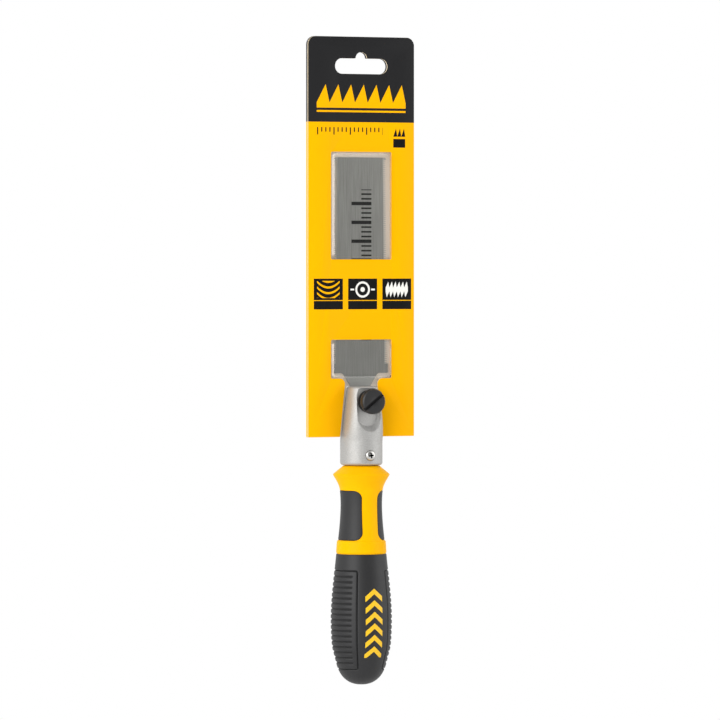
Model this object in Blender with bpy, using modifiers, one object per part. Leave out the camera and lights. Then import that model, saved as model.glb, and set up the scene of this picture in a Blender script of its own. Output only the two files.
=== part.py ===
"""Flush cut pull saw on its hang card.

Metres, +Z up. The saw stands upright with the blade on top, its front (the clamp screw) faces -Y,
and the origin lies in the middle of the grip, on the handle's axis.
"""
import math

import bmesh
import bpy

MM = 0.001

# Fits
CLEARANCE = 0.3 * MM            # between pieces that touch
TURNED_SIDES = 32               # sides of the handle and other large round pieces
SMALL_SIDES = 20                # sides of screws and washers
ARC_STEPS = 4                   # points in a rounded corner
EDGE_STEPS = 3                  # rings in the neck's rounded ends
NECK_STEPS = 8                  # rings in the neck's drawn-in length
EDGE_BREAK = 0.4 * MM           # small chamfers and corner radii

# Soft sleeve over the lower handle: height and radius of its outline, from the top down
SLEEVE_OUTLINE = [
    (34.2 * MM, 13.35 * MM), (27.6 * MM, 14.1 * MM), (21.2 * MM, 14.85 * MM),
    (8.5 * MM, 15.95 * MM), (-2.6 * MM, 16.25 * MM), (-13.8 * MM, 15.7 * MM),
    (-20.2 * MM, 14.3 * MM), (-26.6 * MM, 12.5 * MM), (-31.0 * MM, 10.0 * MM),
    (-33.8 * MM, 6.6 * MM), (-35.0 * MM, 3.2 * MM), (-35.3 * MM, 0.0),
]
SLEEVE_WALL = 2.2 * MM
SLEEVE_TOP_ROUND = 0.5 * MM
RIB_TOP_Z = 21.5 * MM
RIB_BOTTOM_Z = -24.5 * MM
RIB_PITCH = 2.87 * MM
RIB_GROOVE_WIDTH = 1.5 * MM
RIB_GROOVE_DEPTH = 0.7 * MM
RIB_EDGE_X = 11.0 * MM
PANEL_EDGE_X = 8.0 * MM         # border groove round the ribs
PANEL_MARGIN = 3.0 * MM         # from the border groove to the outermost ribs
PANEL_GROOVE_WIDTH = 0.8 * MM
PANEL_GROOVE_DEPTH = 0.5 * MM
PANEL_CORNER_RADIUS = 2.0 * MM

# Rigid core of the handle, upwards from the sleeve
BAND_HEIGHT = 6.8 * MM
BAND_TOP_RADIUS = 13.0 * MM
BAND_STEP = 0.65 * MM           # how far the band stands proud of the pads
WAIST_RADIUS = 11.0 * MM
WAIST_ABOVE_BAND = 19.0 * MM
PAD_ABOVE_BAND = 0.6 * MM
PAD_HEIGHT = 26.3 * MM
FLANGE_ABOVE_PAD = 8.3 * MM
FLANGE_RADIUS = 15.05 * MM
FLANGE_TOP_HEIGHT = 4.8 * MM    # from the flange's edge to the top of the core
CORE_TOP_RADIUS = 10.0 * MM
SPIGOT_RADIUS = 6.7 * MM
SPIGOT_HEIGHT = 13.0 * MM

# Soft pads set into the core
PAD_STRIPE_HALF_WIDTH = 4.5 * MM
PAD_CORNER_RADIUS = 4.4 * MM
PAD_DEPTH = 1.4 * MM

# Cast neck
NECK_HEIGHT = 41.9 * MM
NECK_ROUND_HEIGHT = 13.2 * MM   # round up to here, and drawn in above
NECK_RADIUS = 11.25 * MM
NECK_TOP_HALF_WIDTH = 8.0 * MM
NECK_TOP_FRONT = 8.7 * MM
NECK_TOP_REAR = 6.9 * MM
NECK_EDGE_RADIUS = 1.4 * MM
FLAT_Y = -7.6 * MM              # the recessed flat that the clamp screw seats on
FLAT_HALF_WIDTH = 6.8 * MM
FLAT_HEIGHT = 22.9 * MM
FLAT_TOP_MARGIN = 1.1 * MM
FLAT_CORNER_RADIUS = 1.0 * MM

# Clamp screw, washer and thread insert
CLAMP_BELOW_TOP = 7.95 * MM
CLAMP_SHANK_RADIUS = 2.5 * MM
CLAMP_HUB_RADIUS = 4.2 * MM
CLAMP_HUB_LENGTH = 3.0 * MM
CLAMP_HEAD_RADIUS = 6.75 * MM
CLAMP_HEAD_LENGTH = 3.8 * MM
CLAMP_HEAD_CHAMFER = 1.2 * MM
CLAMP_SLOT_WIDTH = 1.6 * MM
CLAMP_SLOT_DEPTH = 1.6 * MM
CLAMP_SLOT_ANGLE = 38.4         # degrees from level, rising to the right
WASHER_RADIUS = 6.0 * MM
WASHER_THICKNESS = 1.0 * MM
WASHER_EDGE = 0.2 * MM
INSERT_RADIUS = 3.6 * MM
INSERT_LENGTH = 4.4 * MM
INSERT_WALL = 0.6 * MM          # metal left between the blade slot and the insert

# Small screw that pins the neck to the handle
PIN_ABOVE_BOTTOM = 5.3 * MM
PIN_HEAD_RADIUS = 2.7 * MM
PIN_HEAD_LENGTH = 1.4 * MM
PIN_SHANK_RADIUS = 1.4 * MM
PIN_LENGTH = 8.0 * MM
PIN_POINT_LENGTH = 0.8 * MM
PIN_SEAT_DEPTH = 0.6 * MM
PIN_CROSS_WIDTH = 0.7 * MM
PIN_CROSS_LENGTH = 3.0 * MM
PIN_CROSS_DEPTH = 0.8 * MM

# Blade
BLADE_Y = 1.5 * MM              # the blade's middle plane, a little behind the handle's axis
BLADE_THICKNESS = 0.5 * MM
TOOTH_PITCH = 25.4 / 23 * MM    # 23 teeth to the inch
TOOTH_DEPTH = 1.9 * MM
TOOTH_RAKE = 0.65               # share of the pitch from gullet down to tip
TOOTH_COUNT = 98                # on each edge
BLADE_TIP_MARGIN = 1.2 * MM     # plain edge above the last tooth
BLADE_TIP_HALF_WIDTH = 15.1 * MM
BLADE_TIP_RADIUS = 0.8 * MM
BLADE_HEEL_HALF_WIDTH = 16.25 * MM
HEEL_ABOVE_NECK = 6.9 * MM
HEEL_MARGIN = 4.9 * MM          # plain edge below the first tooth
SHOULDER_HALF_WIDTH = 10.3 * MM
SHOULDER_RADIUS = 2.5 * MM
TANG_HALF_WIDTH = 6.1 * MM
TANG_DEPTH = 21.0 * MM          # how far the tang reaches down into the neck
TANG_END_RADIUS = 0.8 * MM

# Hang card, upwards from its bottom edge
CARD_BELOW_NECK_TOP = 26.9 * MM
CARD_HALF_WIDTH = 31.25 * MM
CARD_CORNER_RADIUS = 4.4 * MM
BOARD_THICKNESS = 0.4 * MM
NOTCH_BOTTOM_HALF_WIDTH = 12.5 * MM
NOTCH_NECK_MARGIN = 0.4 * MM
THROAT_HALF_WIDTH = 9.2 * MM
THROAT_CORNER_RADIUS = 3.0 * MM
WINDOW_ABOVE_NECK = 4.1 * MM
WINDOW_HALF_WIDTH = 17.75 * MM
WINDOW_CORNER_RADIUS = 0.7 * MM
LOWER_WINDOW_HEIGHT = 20.5 * MM
CROSS_BAND_HEIGHT = 42.6 * MM
WINDOW_ABOVE_TIP = 2.9 * MM
CARD_ABOVE_WINDOW = 61.0 * MM
HANG_SLOT_BELOW_TOP = 15.6 * MM
HANG_SLOT_HALF_WIDTH = 15.4 * MM
HANG_SLOT_HEIGHT = 8.2 * MM
HANG_SLOT_BUMP_HALF_WIDTH = 3.3 * MM
HANG_SLOT_BUMP_HEIGHT = 3.3 * MM
RIM_WIDTH = 3.5 * MM            # glued rim of the boards outside the blister's flange
CHANNEL_MARGIN = 0.5 * MM       # blade channel outside the window

# Blister
SHEET_THICKNESS = 0.25 * MM
SHEET_ABOVE_NECK = 1.2 * MM
SHEET_ABOVE_WINDOW = 14.5 * MM
DOME_HEIGHT = 1.5 * MM          # above the face of the card
DOME_INSET = 1.6 * MM           # slope of the dome's sides
DOME_EDGE_RADIUS = 0.8 * MM

# Heights worked out from the sizes above
SLEEVE_TOP_Z = SLEEVE_OUTLINE[0][0]
SLEEVE_TOP_RADIUS = SLEEVE_OUTLINE[0][1]
PANEL_TOP_Z = RIB_TOP_Z + PANEL_MARGIN
PANEL_BOTTOM_Z = RIB_BOTTOM_Z - PANEL_MARGIN
BAND_TOP_Z = SLEEVE_TOP_Z + BAND_HEIGHT
WAIST_Z = BAND_TOP_Z + WAIST_ABOVE_BAND
PAD_BOTTOM_Z = BAND_TOP_Z + PAD_ABOVE_BAND
PAD_TOP_Z = PAD_BOTTOM_Z + PAD_HEIGHT
FLANGE_Z = PAD_TOP_Z + FLANGE_ABOVE_PAD
CORE_TOP_Z = FLANGE_Z + FLANGE_TOP_HEIGHT
SPIGOT_TOP_Z = CORE_TOP_Z + SPIGOT_HEIGHT
NECK_BOTTOM_Z = CORE_TOP_Z + CLEARANCE
NECK_ROUND_TOP_Z = NECK_BOTTOM_Z + NECK_ROUND_HEIGHT
NECK_TOP_Z = NECK_BOTTOM_Z + NECK_HEIGHT
PIN_Z = NECK_BOTTOM_Z + PIN_ABOVE_BOTTOM
CLAMP_Z = NECK_TOP_Z - CLAMP_BELOW_TOP
FLAT_TOP_Z = NECK_TOP_Z - FLAT_TOP_MARGIN
FLAT_BOTTOM_Z = FLAT_TOP_Z - FLAT_HEIGHT
TANG_BOTTOM_Z = NECK_TOP_Z - TANG_DEPTH
HEEL_Z = NECK_TOP_Z + HEEL_ABOVE_NECK
TEETH_BOTTOM_Z = HEEL_Z + HEEL_MARGIN
TEETH_TOP_Z = TEETH_BOTTOM_Z + TOOTH_COUNT * TOOTH_PITCH
BLADE_TOP_Z = TEETH_TOP_Z + BLADE_TIP_MARGIN
CARD_BOTTOM_Z = NECK_TOP_Z - CARD_BELOW_NECK_TOP
LOWER_WINDOW_BOTTOM_Z = NECK_TOP_Z + WINDOW_ABOVE_NECK
LOWER_WINDOW_TOP_Z = LOWER_WINDOW_BOTTOM_Z + LOWER_WINDOW_HEIGHT
UPPER_WINDOW_BOTTOM_Z = LOWER_WINDOW_TOP_Z + CROSS_BAND_HEIGHT
UPPER_WINDOW_TOP_Z = BLADE_TOP_Z + WINDOW_ABOVE_TIP
CARD_TOP_Z = UPPER_WINDOW_TOP_Z + CARD_ABOVE_WINDOW
HANG_SLOT_Z = CARD_TOP_Z - HANG_SLOT_BELOW_TOP
SHEET_BOTTOM_Z = NECK_TOP_Z + SHEET_ABOVE_NECK
SHEET_TOP_Z = UPPER_WINDOW_TOP_Z + SHEET_ABOVE_WINDOW

# Depths worked out from the sizes above, from the front backwards
WASHER_BACK_Y = FLAT_Y - CLEARANCE
HUB_BACK_Y = WASHER_BACK_Y - WASHER_THICKNESS - CLEARANCE
HEAD_BACK_Y = HUB_BACK_Y - CLAMP_HUB_LENGTH
HEAD_FRONT_Y = HEAD_BACK_Y - CLAMP_HEAD_LENGTH
PIN_SEAT_Y = PIN_SEAT_DEPTH - NECK_RADIUS
BLADE_FRONT_Y = BLADE_Y - BLADE_THICKNESS / 2
BLADE_BACK_Y = BLADE_Y + BLADE_THICKNESS / 2
SHEET_BACK_Y = BLADE_FRONT_Y - CLEARANCE
SHEET_FRONT_Y = SHEET_BACK_Y - SHEET_THICKNESS
CARD_BACK_FACE_Y = SHEET_FRONT_Y - CLEARANCE
CARD_FACE_Y = CARD_BACK_FACE_Y - BOARD_THICKNESS
DOME_FACE_Y = CARD_FACE_Y - DOME_HEIGHT
CHANNEL_Y = BLADE_BACK_Y + CLEARANCE
PACK_BACK_Y = CHANNEL_Y + BOARD_THICKNESS
INSERT_FRONT_Y = BLADE_BACK_Y + CLEARANCE + INSERT_WALL
INSERT_BACK_Y = INSERT_FRONT_Y + INSERT_LENGTH
FAR = 60 * MM                   # longer than any wall that a cutter passes through


# Scene, materials and plain mesh tools

def clear_scene():
    for item in list(bpy.data.objects):
        bpy.data.objects.remove(item, do_unlink=True)


def collection(name):
    made = bpy.data.collections.new(name)
    bpy.context.scene.collection.children.link(made)
    return made


def material(name, colour, roughness, metallic=0.0):
    made = bpy.data.materials.new(name)
    made.use_nodes = True
    shader = made.node_tree.nodes["Principled BSDF"]
    shader.inputs["Base Color"].default_value = (*colour, 1.0)
    shader.inputs["Roughness"].default_value = roughness
    shader.inputs["Metallic"].default_value = metallic
    made.diffuse_color = (*colour, 1.0)
    return made


def add_object(name, data, group):
    made = bpy.data.objects.new(name, data)
    group.objects.link(made)
    return made


def as_cutter(made):
    made.hide_render = True
    made.display_type = "WIRE"
    return made


def turned(name, profile, group, sides=TURNED_SIDES):
    """Turn a profile of (radius, height) points round Z. It runs down the outer side."""
    mesh = bpy.data.meshes.new(name)
    points = [(radius, 0.0, height) for radius, height in profile]
    closed = profile[0][0] > 0 and profile[-1][0] > 0
    edges = [(i, i + 1) for i in range(len(points) - 1)]
    if closed:
        edges.append((len(points) - 1, 0))
    mesh.from_pydata(points, edges, [])
    made = add_object(name, mesh, group)
    screw = made.modifiers.new("Turn", "SCREW")
    screw.axis = "Z"
    screw.angle = 2 * math.pi
    screw.steps = sides
    screw.render_steps = sides
    screw.use_merge_vertices = True
    screw.merge_threshold = 0.00001
    screw.use_smooth_shade = True
    return made


def plate(name, outlines, y_front, y_back, group):
    """Extrude outlines of (x, z) points between two planes; inner outlines are holes."""
    curve = bpy.data.curves.new(name, "CURVE")
    curve.dimensions = "2D"
    curve.fill_mode = "BOTH"
    curve.extrude = abs(y_back - y_front) / 2
    for outline in outlines:
        spline = curve.splines.new("POLY")
        spline.points.add(len(outline) - 1)
        for point, (x, z) in zip(spline.points, outline):
            point.co = (x, z, 0.0, 1.0)
        spline.use_cyclic_u = True
    drawn = add_object(name + "_outline", curve, group)
    drawn.location = (0.0, (y_front + y_back) / 2, 0.0)
    drawn.rotation_euler = (math.pi / 2, 0.0, 0.0)
    return curve_to_mesh(drawn, name, group)


def curve_to_mesh(drawn, name, group):
    bpy.context.view_layer.update()
    evaluated = drawn.evaluated_get(bpy.context.evaluated_depsgraph_get())
    mesh = bpy.data.meshes.new_from_object(evaluated)
    mesh.transform(drawn.matrix_world)
    mesh.name = name
    work = bmesh.new()
    work.from_mesh(mesh)
    bmesh.ops.remove_doubles(work, verts=work.verts, dist=0.00001)
    bmesh.ops.recalc_face_normals(work, faces=work.faces)
    work.to_mesh(mesh)
    work.free()
    bpy.data.objects.remove(drawn, do_unlink=True)
    return add_object(name, mesh, group)


def block(name, low, high, group, front_inset=0.0):
    """A box between two corners; its front (-Y) face can be drawn in on all sides."""
    mesh = bpy.data.meshes.new(name)
    work = bmesh.new()
    bmesh.ops.create_cube(work, size=1.0)
    for vert in work.verts:
        inset = front_inset if vert.co.y < 0 else 0.0
        x_edge = (high[0] - inset) if vert.co.x > 0 else (low[0] + inset)
        z_edge = (high[2] - inset) if vert.co.z > 0 else (low[2] + inset)
        vert.co = (x_edge, high[1] if vert.co.y > 0 else low[1], z_edge)
    bmesh.ops.recalc_face_normals(work, faces=work.faces)
    work.to_mesh(mesh)
    work.free()
    return add_object(name, mesh, group)


def bevel(made, width, segments=2, limit=30.0):
    modifier = made.modifiers.new("Rounded edges", "BEVEL")
    modifier.width = width
    modifier.segments = segments
    modifier.limit_method = "ANGLE"
    modifier.angle_limit = math.radians(limit)
    return modifier


def combine(made, other, operation="DIFFERENCE"):
    modifier = made.modifiers.new(operation.title() + " " + other.name, "BOOLEAN")
    modifier.operation = operation
    modifier.object = other
    modifier.solver = "EXACT"
    return modifier


def shade_round(made, angle=35.0):
    made.data.shade_smooth()
    made.data.set_sharp_from_angle(angle=math.radians(angle))


def facing_front(made, y, z):
    """Lay a piece that was turned round Z along the Y axis, with its top towards the front."""
    made.rotation_euler = (math.pi / 2, 0.0, 0.0)
    made.location = (0.0, y, z)
    return made


# Outlines

def rounded(corners, steps=ARC_STEPS):
    """A closed outline from (x, z, radius) corners, each rounded by an arc."""
    points = []
    count = len(corners)
    for i, (x, z, radius) in enumerate(corners):
        if radius == 0:
            points.append((x, z))
            continue
        before = corners[i - 1]
        after = corners[(i + 1) % count]
        to_before = unit(before[0] - x, before[1] - z)
        to_after = unit(after[0] - x, after[1] - z)
        half = math.acos(to_before[0] * to_after[0] + to_before[1] * to_after[1]) / 2
        reach = radius / math.tan(half)
        middle = unit(to_before[0] + to_after[0], to_before[1] + to_after[1])
        centre = (x + middle[0] * radius / math.sin(half), z + middle[1] * radius / math.sin(half))
        start = (x + to_before[0] * reach, z + to_before[1] * reach)
        end = (x + to_after[0] * reach, z + to_after[1] * reach)
        first = math.atan2(start[1] - centre[1], start[0] - centre[0])
        last = math.atan2(end[1] - centre[1], end[0] - centre[0])
        sweep = (last - first + math.pi) % (2 * math.pi) - math.pi
        for step in range(steps + 1):
            angle = first + sweep * step / steps
            points.append((centre[0] + radius * math.cos(angle), centre[1] + radius * math.sin(angle)))
    return points


def unit(x, z):
    length = math.hypot(x, z)
    return x / length, z / length


def mirrored(right_side):
    """Close an outline with the mirror image of its right side."""
    return right_side + [(-x, *rest) for x, *rest in reversed(right_side)]


def smooth_curve(points, steps):
    """A Catmull-Rom curve through hand-placed points."""
    padded = [points[0]] + list(points) + [points[-1]]
    curve = []
    for i in range(len(points) - 1):
        p0, p1, p2, p3 = padded[i:i + 4]
        for step in range(steps):
            t = step / steps
            curve.append(tuple(
                0.5 * (2 * b + (c - a) * t + (2 * a - 5 * b + 4 * c - d) * t ** 2
                       + (3 * b - a - 3 * c + d) * t ** 3)
                for a, b, c, d in zip(p0, p1, p2, p3)))
    curve.append(tuple(points[-1]))
    return curve


def inside(profile, depth):
    """The same (height, radius) profile moved inwards by a wall's depth, down to the axis."""
    moved = []
    for i, (height, radius) in enumerate(profile):
        before = profile[max(i - 1, 0)]
        after = profile[min(i + 1, len(profile) - 1)]
        along = unit(after[0] - before[0], after[1] - before[1])
        if i == len(profile) - 1:
            along = (0.0, -1.0)
        new_height = height - along[1] * depth
        new_radius = radius + along[0] * depth
        if i == len(profile) - 1 or new_radius > 0:
            moved.append((new_height, max(new_radius, 0.0)))
    return moved


def radius_at(profile, height):
    """Radius of a (height, radius) profile, listed from the top down, at one height."""
    for (z_high, r_high), (z_low, r_low) in zip(profile, profile[1:]):
        if z_low <= height <= z_high:
            return r_high + (r_low - r_high) * (z_high - height) / (z_high - z_low)
    return profile[0][1] if height > profile[0][0] else profile[-1][1]


# Blade

def blade_outline():
    def half_width(z):
        share = (z - TEETH_BOTTOM_Z) / (TEETH_TOP_Z - TEETH_BOTTOM_Z)
        return BLADE_HEEL_HALF_WIDTH + (BLADE_TIP_HALF_WIDTH - BLADE_HEEL_HALF_WIDTH) * share

    right = rounded([(0.0, BLADE_TOP_Z, 0), (BLADE_TIP_HALF_WIDTH, BLADE_TOP_Z, BLADE_TIP_RADIUS),
                     (BLADE_TIP_HALF_WIDTH, TEETH_TOP_Z, 0)])[1:-1]
    for tooth in range(TOOTH_COUNT):
        gullet_z = TEETH_TOP_Z - tooth * TOOTH_PITCH
        tip_z = gullet_z - TOOTH_RAKE * TOOTH_PITCH
        right.append((half_width(gullet_z) - TOOTH_DEPTH, gullet_z))
        right.append((half_width(tip_z), tip_z))
    slot_half_width = CLAMP_SHANK_RADIUS + CLEARANCE
    right.append((BLADE_HEEL_HALF_WIDTH - TOOTH_DEPTH, TEETH_BOTTOM_Z))
    tang = rounded([(BLADE_HEEL_HALF_WIDTH, TEETH_BOTTOM_Z, 0),
                    (BLADE_HEEL_HALF_WIDTH, HEEL_Z, EDGE_BREAK),
                    (SHOULDER_HALF_WIDTH, HEEL_Z, SHOULDER_RADIUS),
                    (TANG_HALF_WIDTH, NECK_TOP_Z + CLEARANCE, 0),
                    (TANG_HALF_WIDTH, TANG_BOTTOM_Z, TANG_END_RADIUS),
                    (slot_half_width, TANG_BOTTOM_Z, 0)])
    right.extend(tang)
    arch_steps = 5
    for step in range(arch_steps + 1):
        angle = math.pi / 2 * step / arch_steps
        right.append((slot_half_width * math.cos(angle), CLAMP_Z + slot_half_width * math.sin(angle)))
    return right + [(-x, z) for x, z in reversed(right[:-1])]


def make_blade(parts, finish):
    blade = plate("blade", [blade_outline()], BLADE_FRONT_Y, BLADE_BACK_Y, parts)
    blade.data.materials.append(finish)
    return blade


# Cast neck

def neck_section(share):
    """Half width, front reach, rear reach and squareness of the neck, from round (0) to top (1)."""
    eased = share * share * (3 - 2 * share)
    late = share ** 3
    half_width = NECK_RADIUS + (NECK_TOP_HALF_WIDTH - NECK_RADIUS) * share ** 1.25
    front = NECK_RADIUS + (NECK_TOP_FRONT - NECK_RADIUS) * late
    rear = NECK_RADIUS + (NECK_TOP_REAR - NECK_RADIUS) * (0.6 * share + 0.4 * eased)
    squareness = 2.0 + 0.8 * math.sin(math.pi * min(share, 0.8))
    return half_width, front, rear, squareness


def neck_ring(z, share, inset=0.0):
    half_width, front, rear, squareness = neck_section(share)
    ring = []
    for step in range(TURNED_SIDES):
        angle = 2 * math.pi * step / TURNED_SIDES
        across = math.cos(angle)
        along = math.sin(angle)
        power = 2 / (squareness if along < 0 else 2.0)
        reach = front if along < 0 else rear
        x = (half_width - inset) * math.copysign(abs(across) ** power, across)
        y = (reach - inset) * math.copysign(abs(along) ** power, along)
        ring.append((x, y, z))
    return ring


def loft(name, rings, group):
    """Skin rings of points from the bottom up, and cap both ends."""
    mesh = bpy.data.meshes.new(name)
    work = bmesh.new()
    rows = [[work.verts.new(point) for point in ring] for ring in rings]
    count = len(rings[0])
    for lower, upper in zip(rows, rows[1:]):
        for i in range(count):
            after = (i + 1) % count
            work.faces.new((lower[i], lower[after], upper[after], upper[i]))
    work.faces.new(list(reversed(rows[0])))
    work.faces.new(rows[-1])
    bmesh.ops.recalc_face_normals(work, faces=work.faces)
    work.to_mesh(mesh)
    work.free()
    return add_object(name, mesh, group)


def neck_body(parts):
    edge = NECK_EDGE_RADIUS
    rings = []
    for step in range(EDGE_STEPS + 1):
        angle = math.pi / 2 * step / EDGE_STEPS
        rings.append(neck_ring(NECK_BOTTOM_Z + edge * (1 - math.sin(angle)), 0.0,
                               edge * (1 - math.cos(angle))))
    rings.reverse()
    drawn_in_height = NECK_TOP_Z - NECK_ROUND_TOP_Z
    for step in range(NECK_STEPS):
        share = step / NECK_STEPS * (1 - edge / drawn_in_height)
        rings.append(neck_ring(NECK_ROUND_TOP_Z + drawn_in_height * share, share))
    for step in range(EDGE_STEPS + 1):
        angle = math.pi / 2 * step / EDGE_STEPS
        z = NECK_TOP_Z - edge * (1 - math.sin(angle))
        share = (z - NECK_ROUND_TOP_Z) / drawn_in_height
        rings.append(neck_ring(z, share, edge * (1 - math.cos(angle))))
    return loft("neck_casting", rings, parts)


def flat_outline():
    """The U-bottomed recess round the clamp screw."""
    centre_z = FLAT_BOTTOM_Z + FLAT_HALF_WIDTH
    arc_steps = 10
    points = []
    for step in range(arc_steps + 1):
        angle = math.pi + math.pi * step / arc_steps
        points.append((FLAT_HALF_WIDTH * math.cos(angle), centre_z + FLAT_HALF_WIDTH * math.sin(angle)))
    top = rounded([(FLAT_HALF_WIDTH, centre_z, 0), (FLAT_HALF_WIDTH, FLAT_TOP_Z, FLAT_CORNER_RADIUS),
                   (-FLAT_HALF_WIDTH, FLAT_TOP_Z, FLAT_CORNER_RADIUS), (-FLAT_HALF_WIDTH, centre_z, 0)])
    return points + top[1:-1]


def make_neck(parts, cutters, finish):
    neck = neck_body(parts)
    neck.data.materials.append(finish)

    socket = turned("socket_cutter", [
        (0.0, SPIGOT_TOP_Z + CLEARANCE), (SPIGOT_RADIUS + CLEARANCE, SPIGOT_TOP_Z + CLEARANCE),
        (SPIGOT_RADIUS + CLEARANCE, NECK_BOTTOM_Z - FAR), (0.0, NECK_BOTTOM_Z - FAR)], cutters)
    slot = block("blade_slot_cutter",
                 (-TANG_HALF_WIDTH - CLEARANCE, BLADE_FRONT_Y - CLEARANCE, TANG_BOTTOM_Z - CLEARANCE),
                 (TANG_HALF_WIDTH + CLEARANCE, BLADE_BACK_Y + CLEARANCE, NECK_TOP_Z + FAR), cutters)
    flat = plate("flat_cutter", [flat_outline()], -FAR, FLAT_Y, cutters)
    bore_radius = CLAMP_SHANK_RADIUS + CLEARANCE
    seat_radius = INSERT_RADIUS + CLEARANCE
    seat_y = INSERT_FRONT_Y - CLEARANCE
    bore = turned("clamp_bore_cutter", [
        (0.0, FAR), (bore_radius, FAR), (bore_radius, 0.0), (seat_radius, 0.0),
        (seat_radius, -FAR), (0.0, -FAR)], cutters, SMALL_SIDES)
    facing_front(bore, seat_y, CLAMP_Z)
    pin_radius = PIN_SHANK_RADIUS + CLEARANCE
    pin_hole = turned("pin_hole_cutter",
                      [(0.0, FAR), (PIN_HEAD_RADIUS + CLEARANCE, FAR), (PIN_HEAD_RADIUS + CLEARANCE, 0.0),
                       (pin_radius, 0.0), (pin_radius, PIN_SEAT_Y), (0.0, PIN_SEAT_Y)],
                      cutters, SMALL_SIDES)
    facing_front(pin_hole, PIN_SEAT_Y, PIN_Z)
    for cutter in (socket, slot, flat, bore, pin_hole):
        combine(neck, as_cutter(cutter))
    shade_round(neck)
    return neck


# Screws, washer and insert

def make_clamp_screw(parts, cutters, finish):
    """Its origin lies on its own axis, at the back of the head."""
    tip = INSERT_BACK_Y - CLEARANCE
    chamfer = CLAMP_HEAD_CHAMFER
    screw = turned("clamp_screw", [
        (0.0, CLAMP_HEAD_LENGTH),
        (CLAMP_HEAD_RADIUS - chamfer, CLAMP_HEAD_LENGTH),
        (CLAMP_HEAD_RADIUS - chamfer * 0.3, CLAMP_HEAD_LENGTH - chamfer * 0.3),
        (CLAMP_HEAD_RADIUS, CLAMP_HEAD_LENGTH - chamfer),
        (CLAMP_HEAD_RADIUS, EDGE_BREAK),
        (CLAMP_HEAD_RADIUS - EDGE_BREAK, 0.0),
        (CLAMP_HUB_RADIUS, 0.0),
        (CLAMP_HUB_RADIUS, -CLAMP_HUB_LENGTH),
        (CLAMP_SHANK_RADIUS, -CLAMP_HUB_LENGTH),
        (CLAMP_SHANK_RADIUS, HEAD_BACK_Y - tip + EDGE_BREAK),
        (CLAMP_SHANK_RADIUS - EDGE_BREAK, HEAD_BACK_Y - tip),
        (0.0, HEAD_BACK_Y - tip)], parts, TURNED_SIDES)
    facing_front(screw, HEAD_BACK_Y, CLAMP_Z)
    screw.data.materials.append(finish)
    slot = block("clamp_slot_cutter", (-FAR, -FAR, -CLAMP_SLOT_WIDTH / 2),
                 (FAR, CLAMP_SLOT_DEPTH, CLAMP_SLOT_WIDTH / 2), cutters)
    slot.location = (0.0, HEAD_FRONT_Y, CLAMP_Z)
    slot.rotation_euler = (0.0, -math.radians(CLAMP_SLOT_ANGLE), 0.0)
    combine(screw, as_cutter(slot))
    return screw


def make_washer(parts, finish):
    hole = CLAMP_SHANK_RADIUS + CLEARANCE
    washer = turned("clamp_washer", [
        (hole, WASHER_THICKNESS), (WASHER_RADIUS - WASHER_EDGE, WASHER_THICKNESS),
        (WASHER_RADIUS, WASHER_THICKNESS - WASHER_EDGE), (WASHER_RADIUS, WASHER_EDGE),
        (WASHER_RADIUS - WASHER_EDGE, 0.0), (hole, 0.0)], parts, SMALL_SIDES)
    facing_front(washer, WASHER_BACK_Y, CLAMP_Z)
    washer.data.materials.append(finish)
    return washer


def make_insert(parts, finish):
    hole = CLAMP_SHANK_RADIUS + CLEARANCE
    insert = turned("thread_insert", [
        (hole, INSERT_LENGTH), (INSERT_RADIUS, INSERT_LENGTH), (INSERT_RADIUS, 0.0), (hole, 0.0)],
        parts, SMALL_SIDES)
    facing_front(insert, INSERT_BACK_Y, CLAMP_Z)
    insert.data.materials.append(finish)
    return insert


def make_neck_screw(parts, cutters, finish):
    back_y = PIN_SEAT_Y - CLEARANCE
    screw = turned("neck_screw", [
        (0.0, PIN_HEAD_LENGTH), (PIN_HEAD_RADIUS * 0.5, PIN_HEAD_LENGTH * 0.93),
        (PIN_HEAD_RADIUS * 0.85, PIN_HEAD_LENGTH * 0.7), (PIN_HEAD_RADIUS, PIN_HEAD_LENGTH * 0.3),
        (PIN_HEAD_RADIUS, 0.0), (PIN_SHANK_RADIUS, 0.0),
        (PIN_SHANK_RADIUS, PIN_POINT_LENGTH - PIN_LENGTH), (0.0, -PIN_LENGTH)], parts, SMALL_SIDES)
    facing_front(screw, back_y, PIN_Z)
    screw.data.materials.append(finish)
    front_y = back_y - PIN_HEAD_LENGTH
    half_long = PIN_CROSS_LENGTH / 2
    half_wide = PIN_CROSS_WIDTH / 2
    level = block("cross_level_cutter", (-half_long, front_y - FAR, PIN_Z - half_wide),
                  (half_long, front_y + PIN_CROSS_DEPTH, PIN_Z + half_wide), cutters)
    upright = block("cross_upright_cutter", (-half_wide, front_y - FAR, PIN_Z - half_long),
                    (half_wide, front_y + PIN_CROSS_DEPTH, PIN_Z + half_long), cutters)
    combine(screw, as_cutter(level))
    combine(screw, as_cutter(upright))
    return screw


# Handle

def sleeve_profile():
    return smooth_curve(SLEEVE_OUTLINE, 2)


def under_sleeve(depth):
    """(radius, height) of a surface that lies a depth inside the sleeve's outline."""
    return [(radius, height) for height, radius in inside(SLEEVE_OUTLINE, depth)
            if height < SLEEVE_TOP_Z - SLEEVE_WALL]


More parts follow.
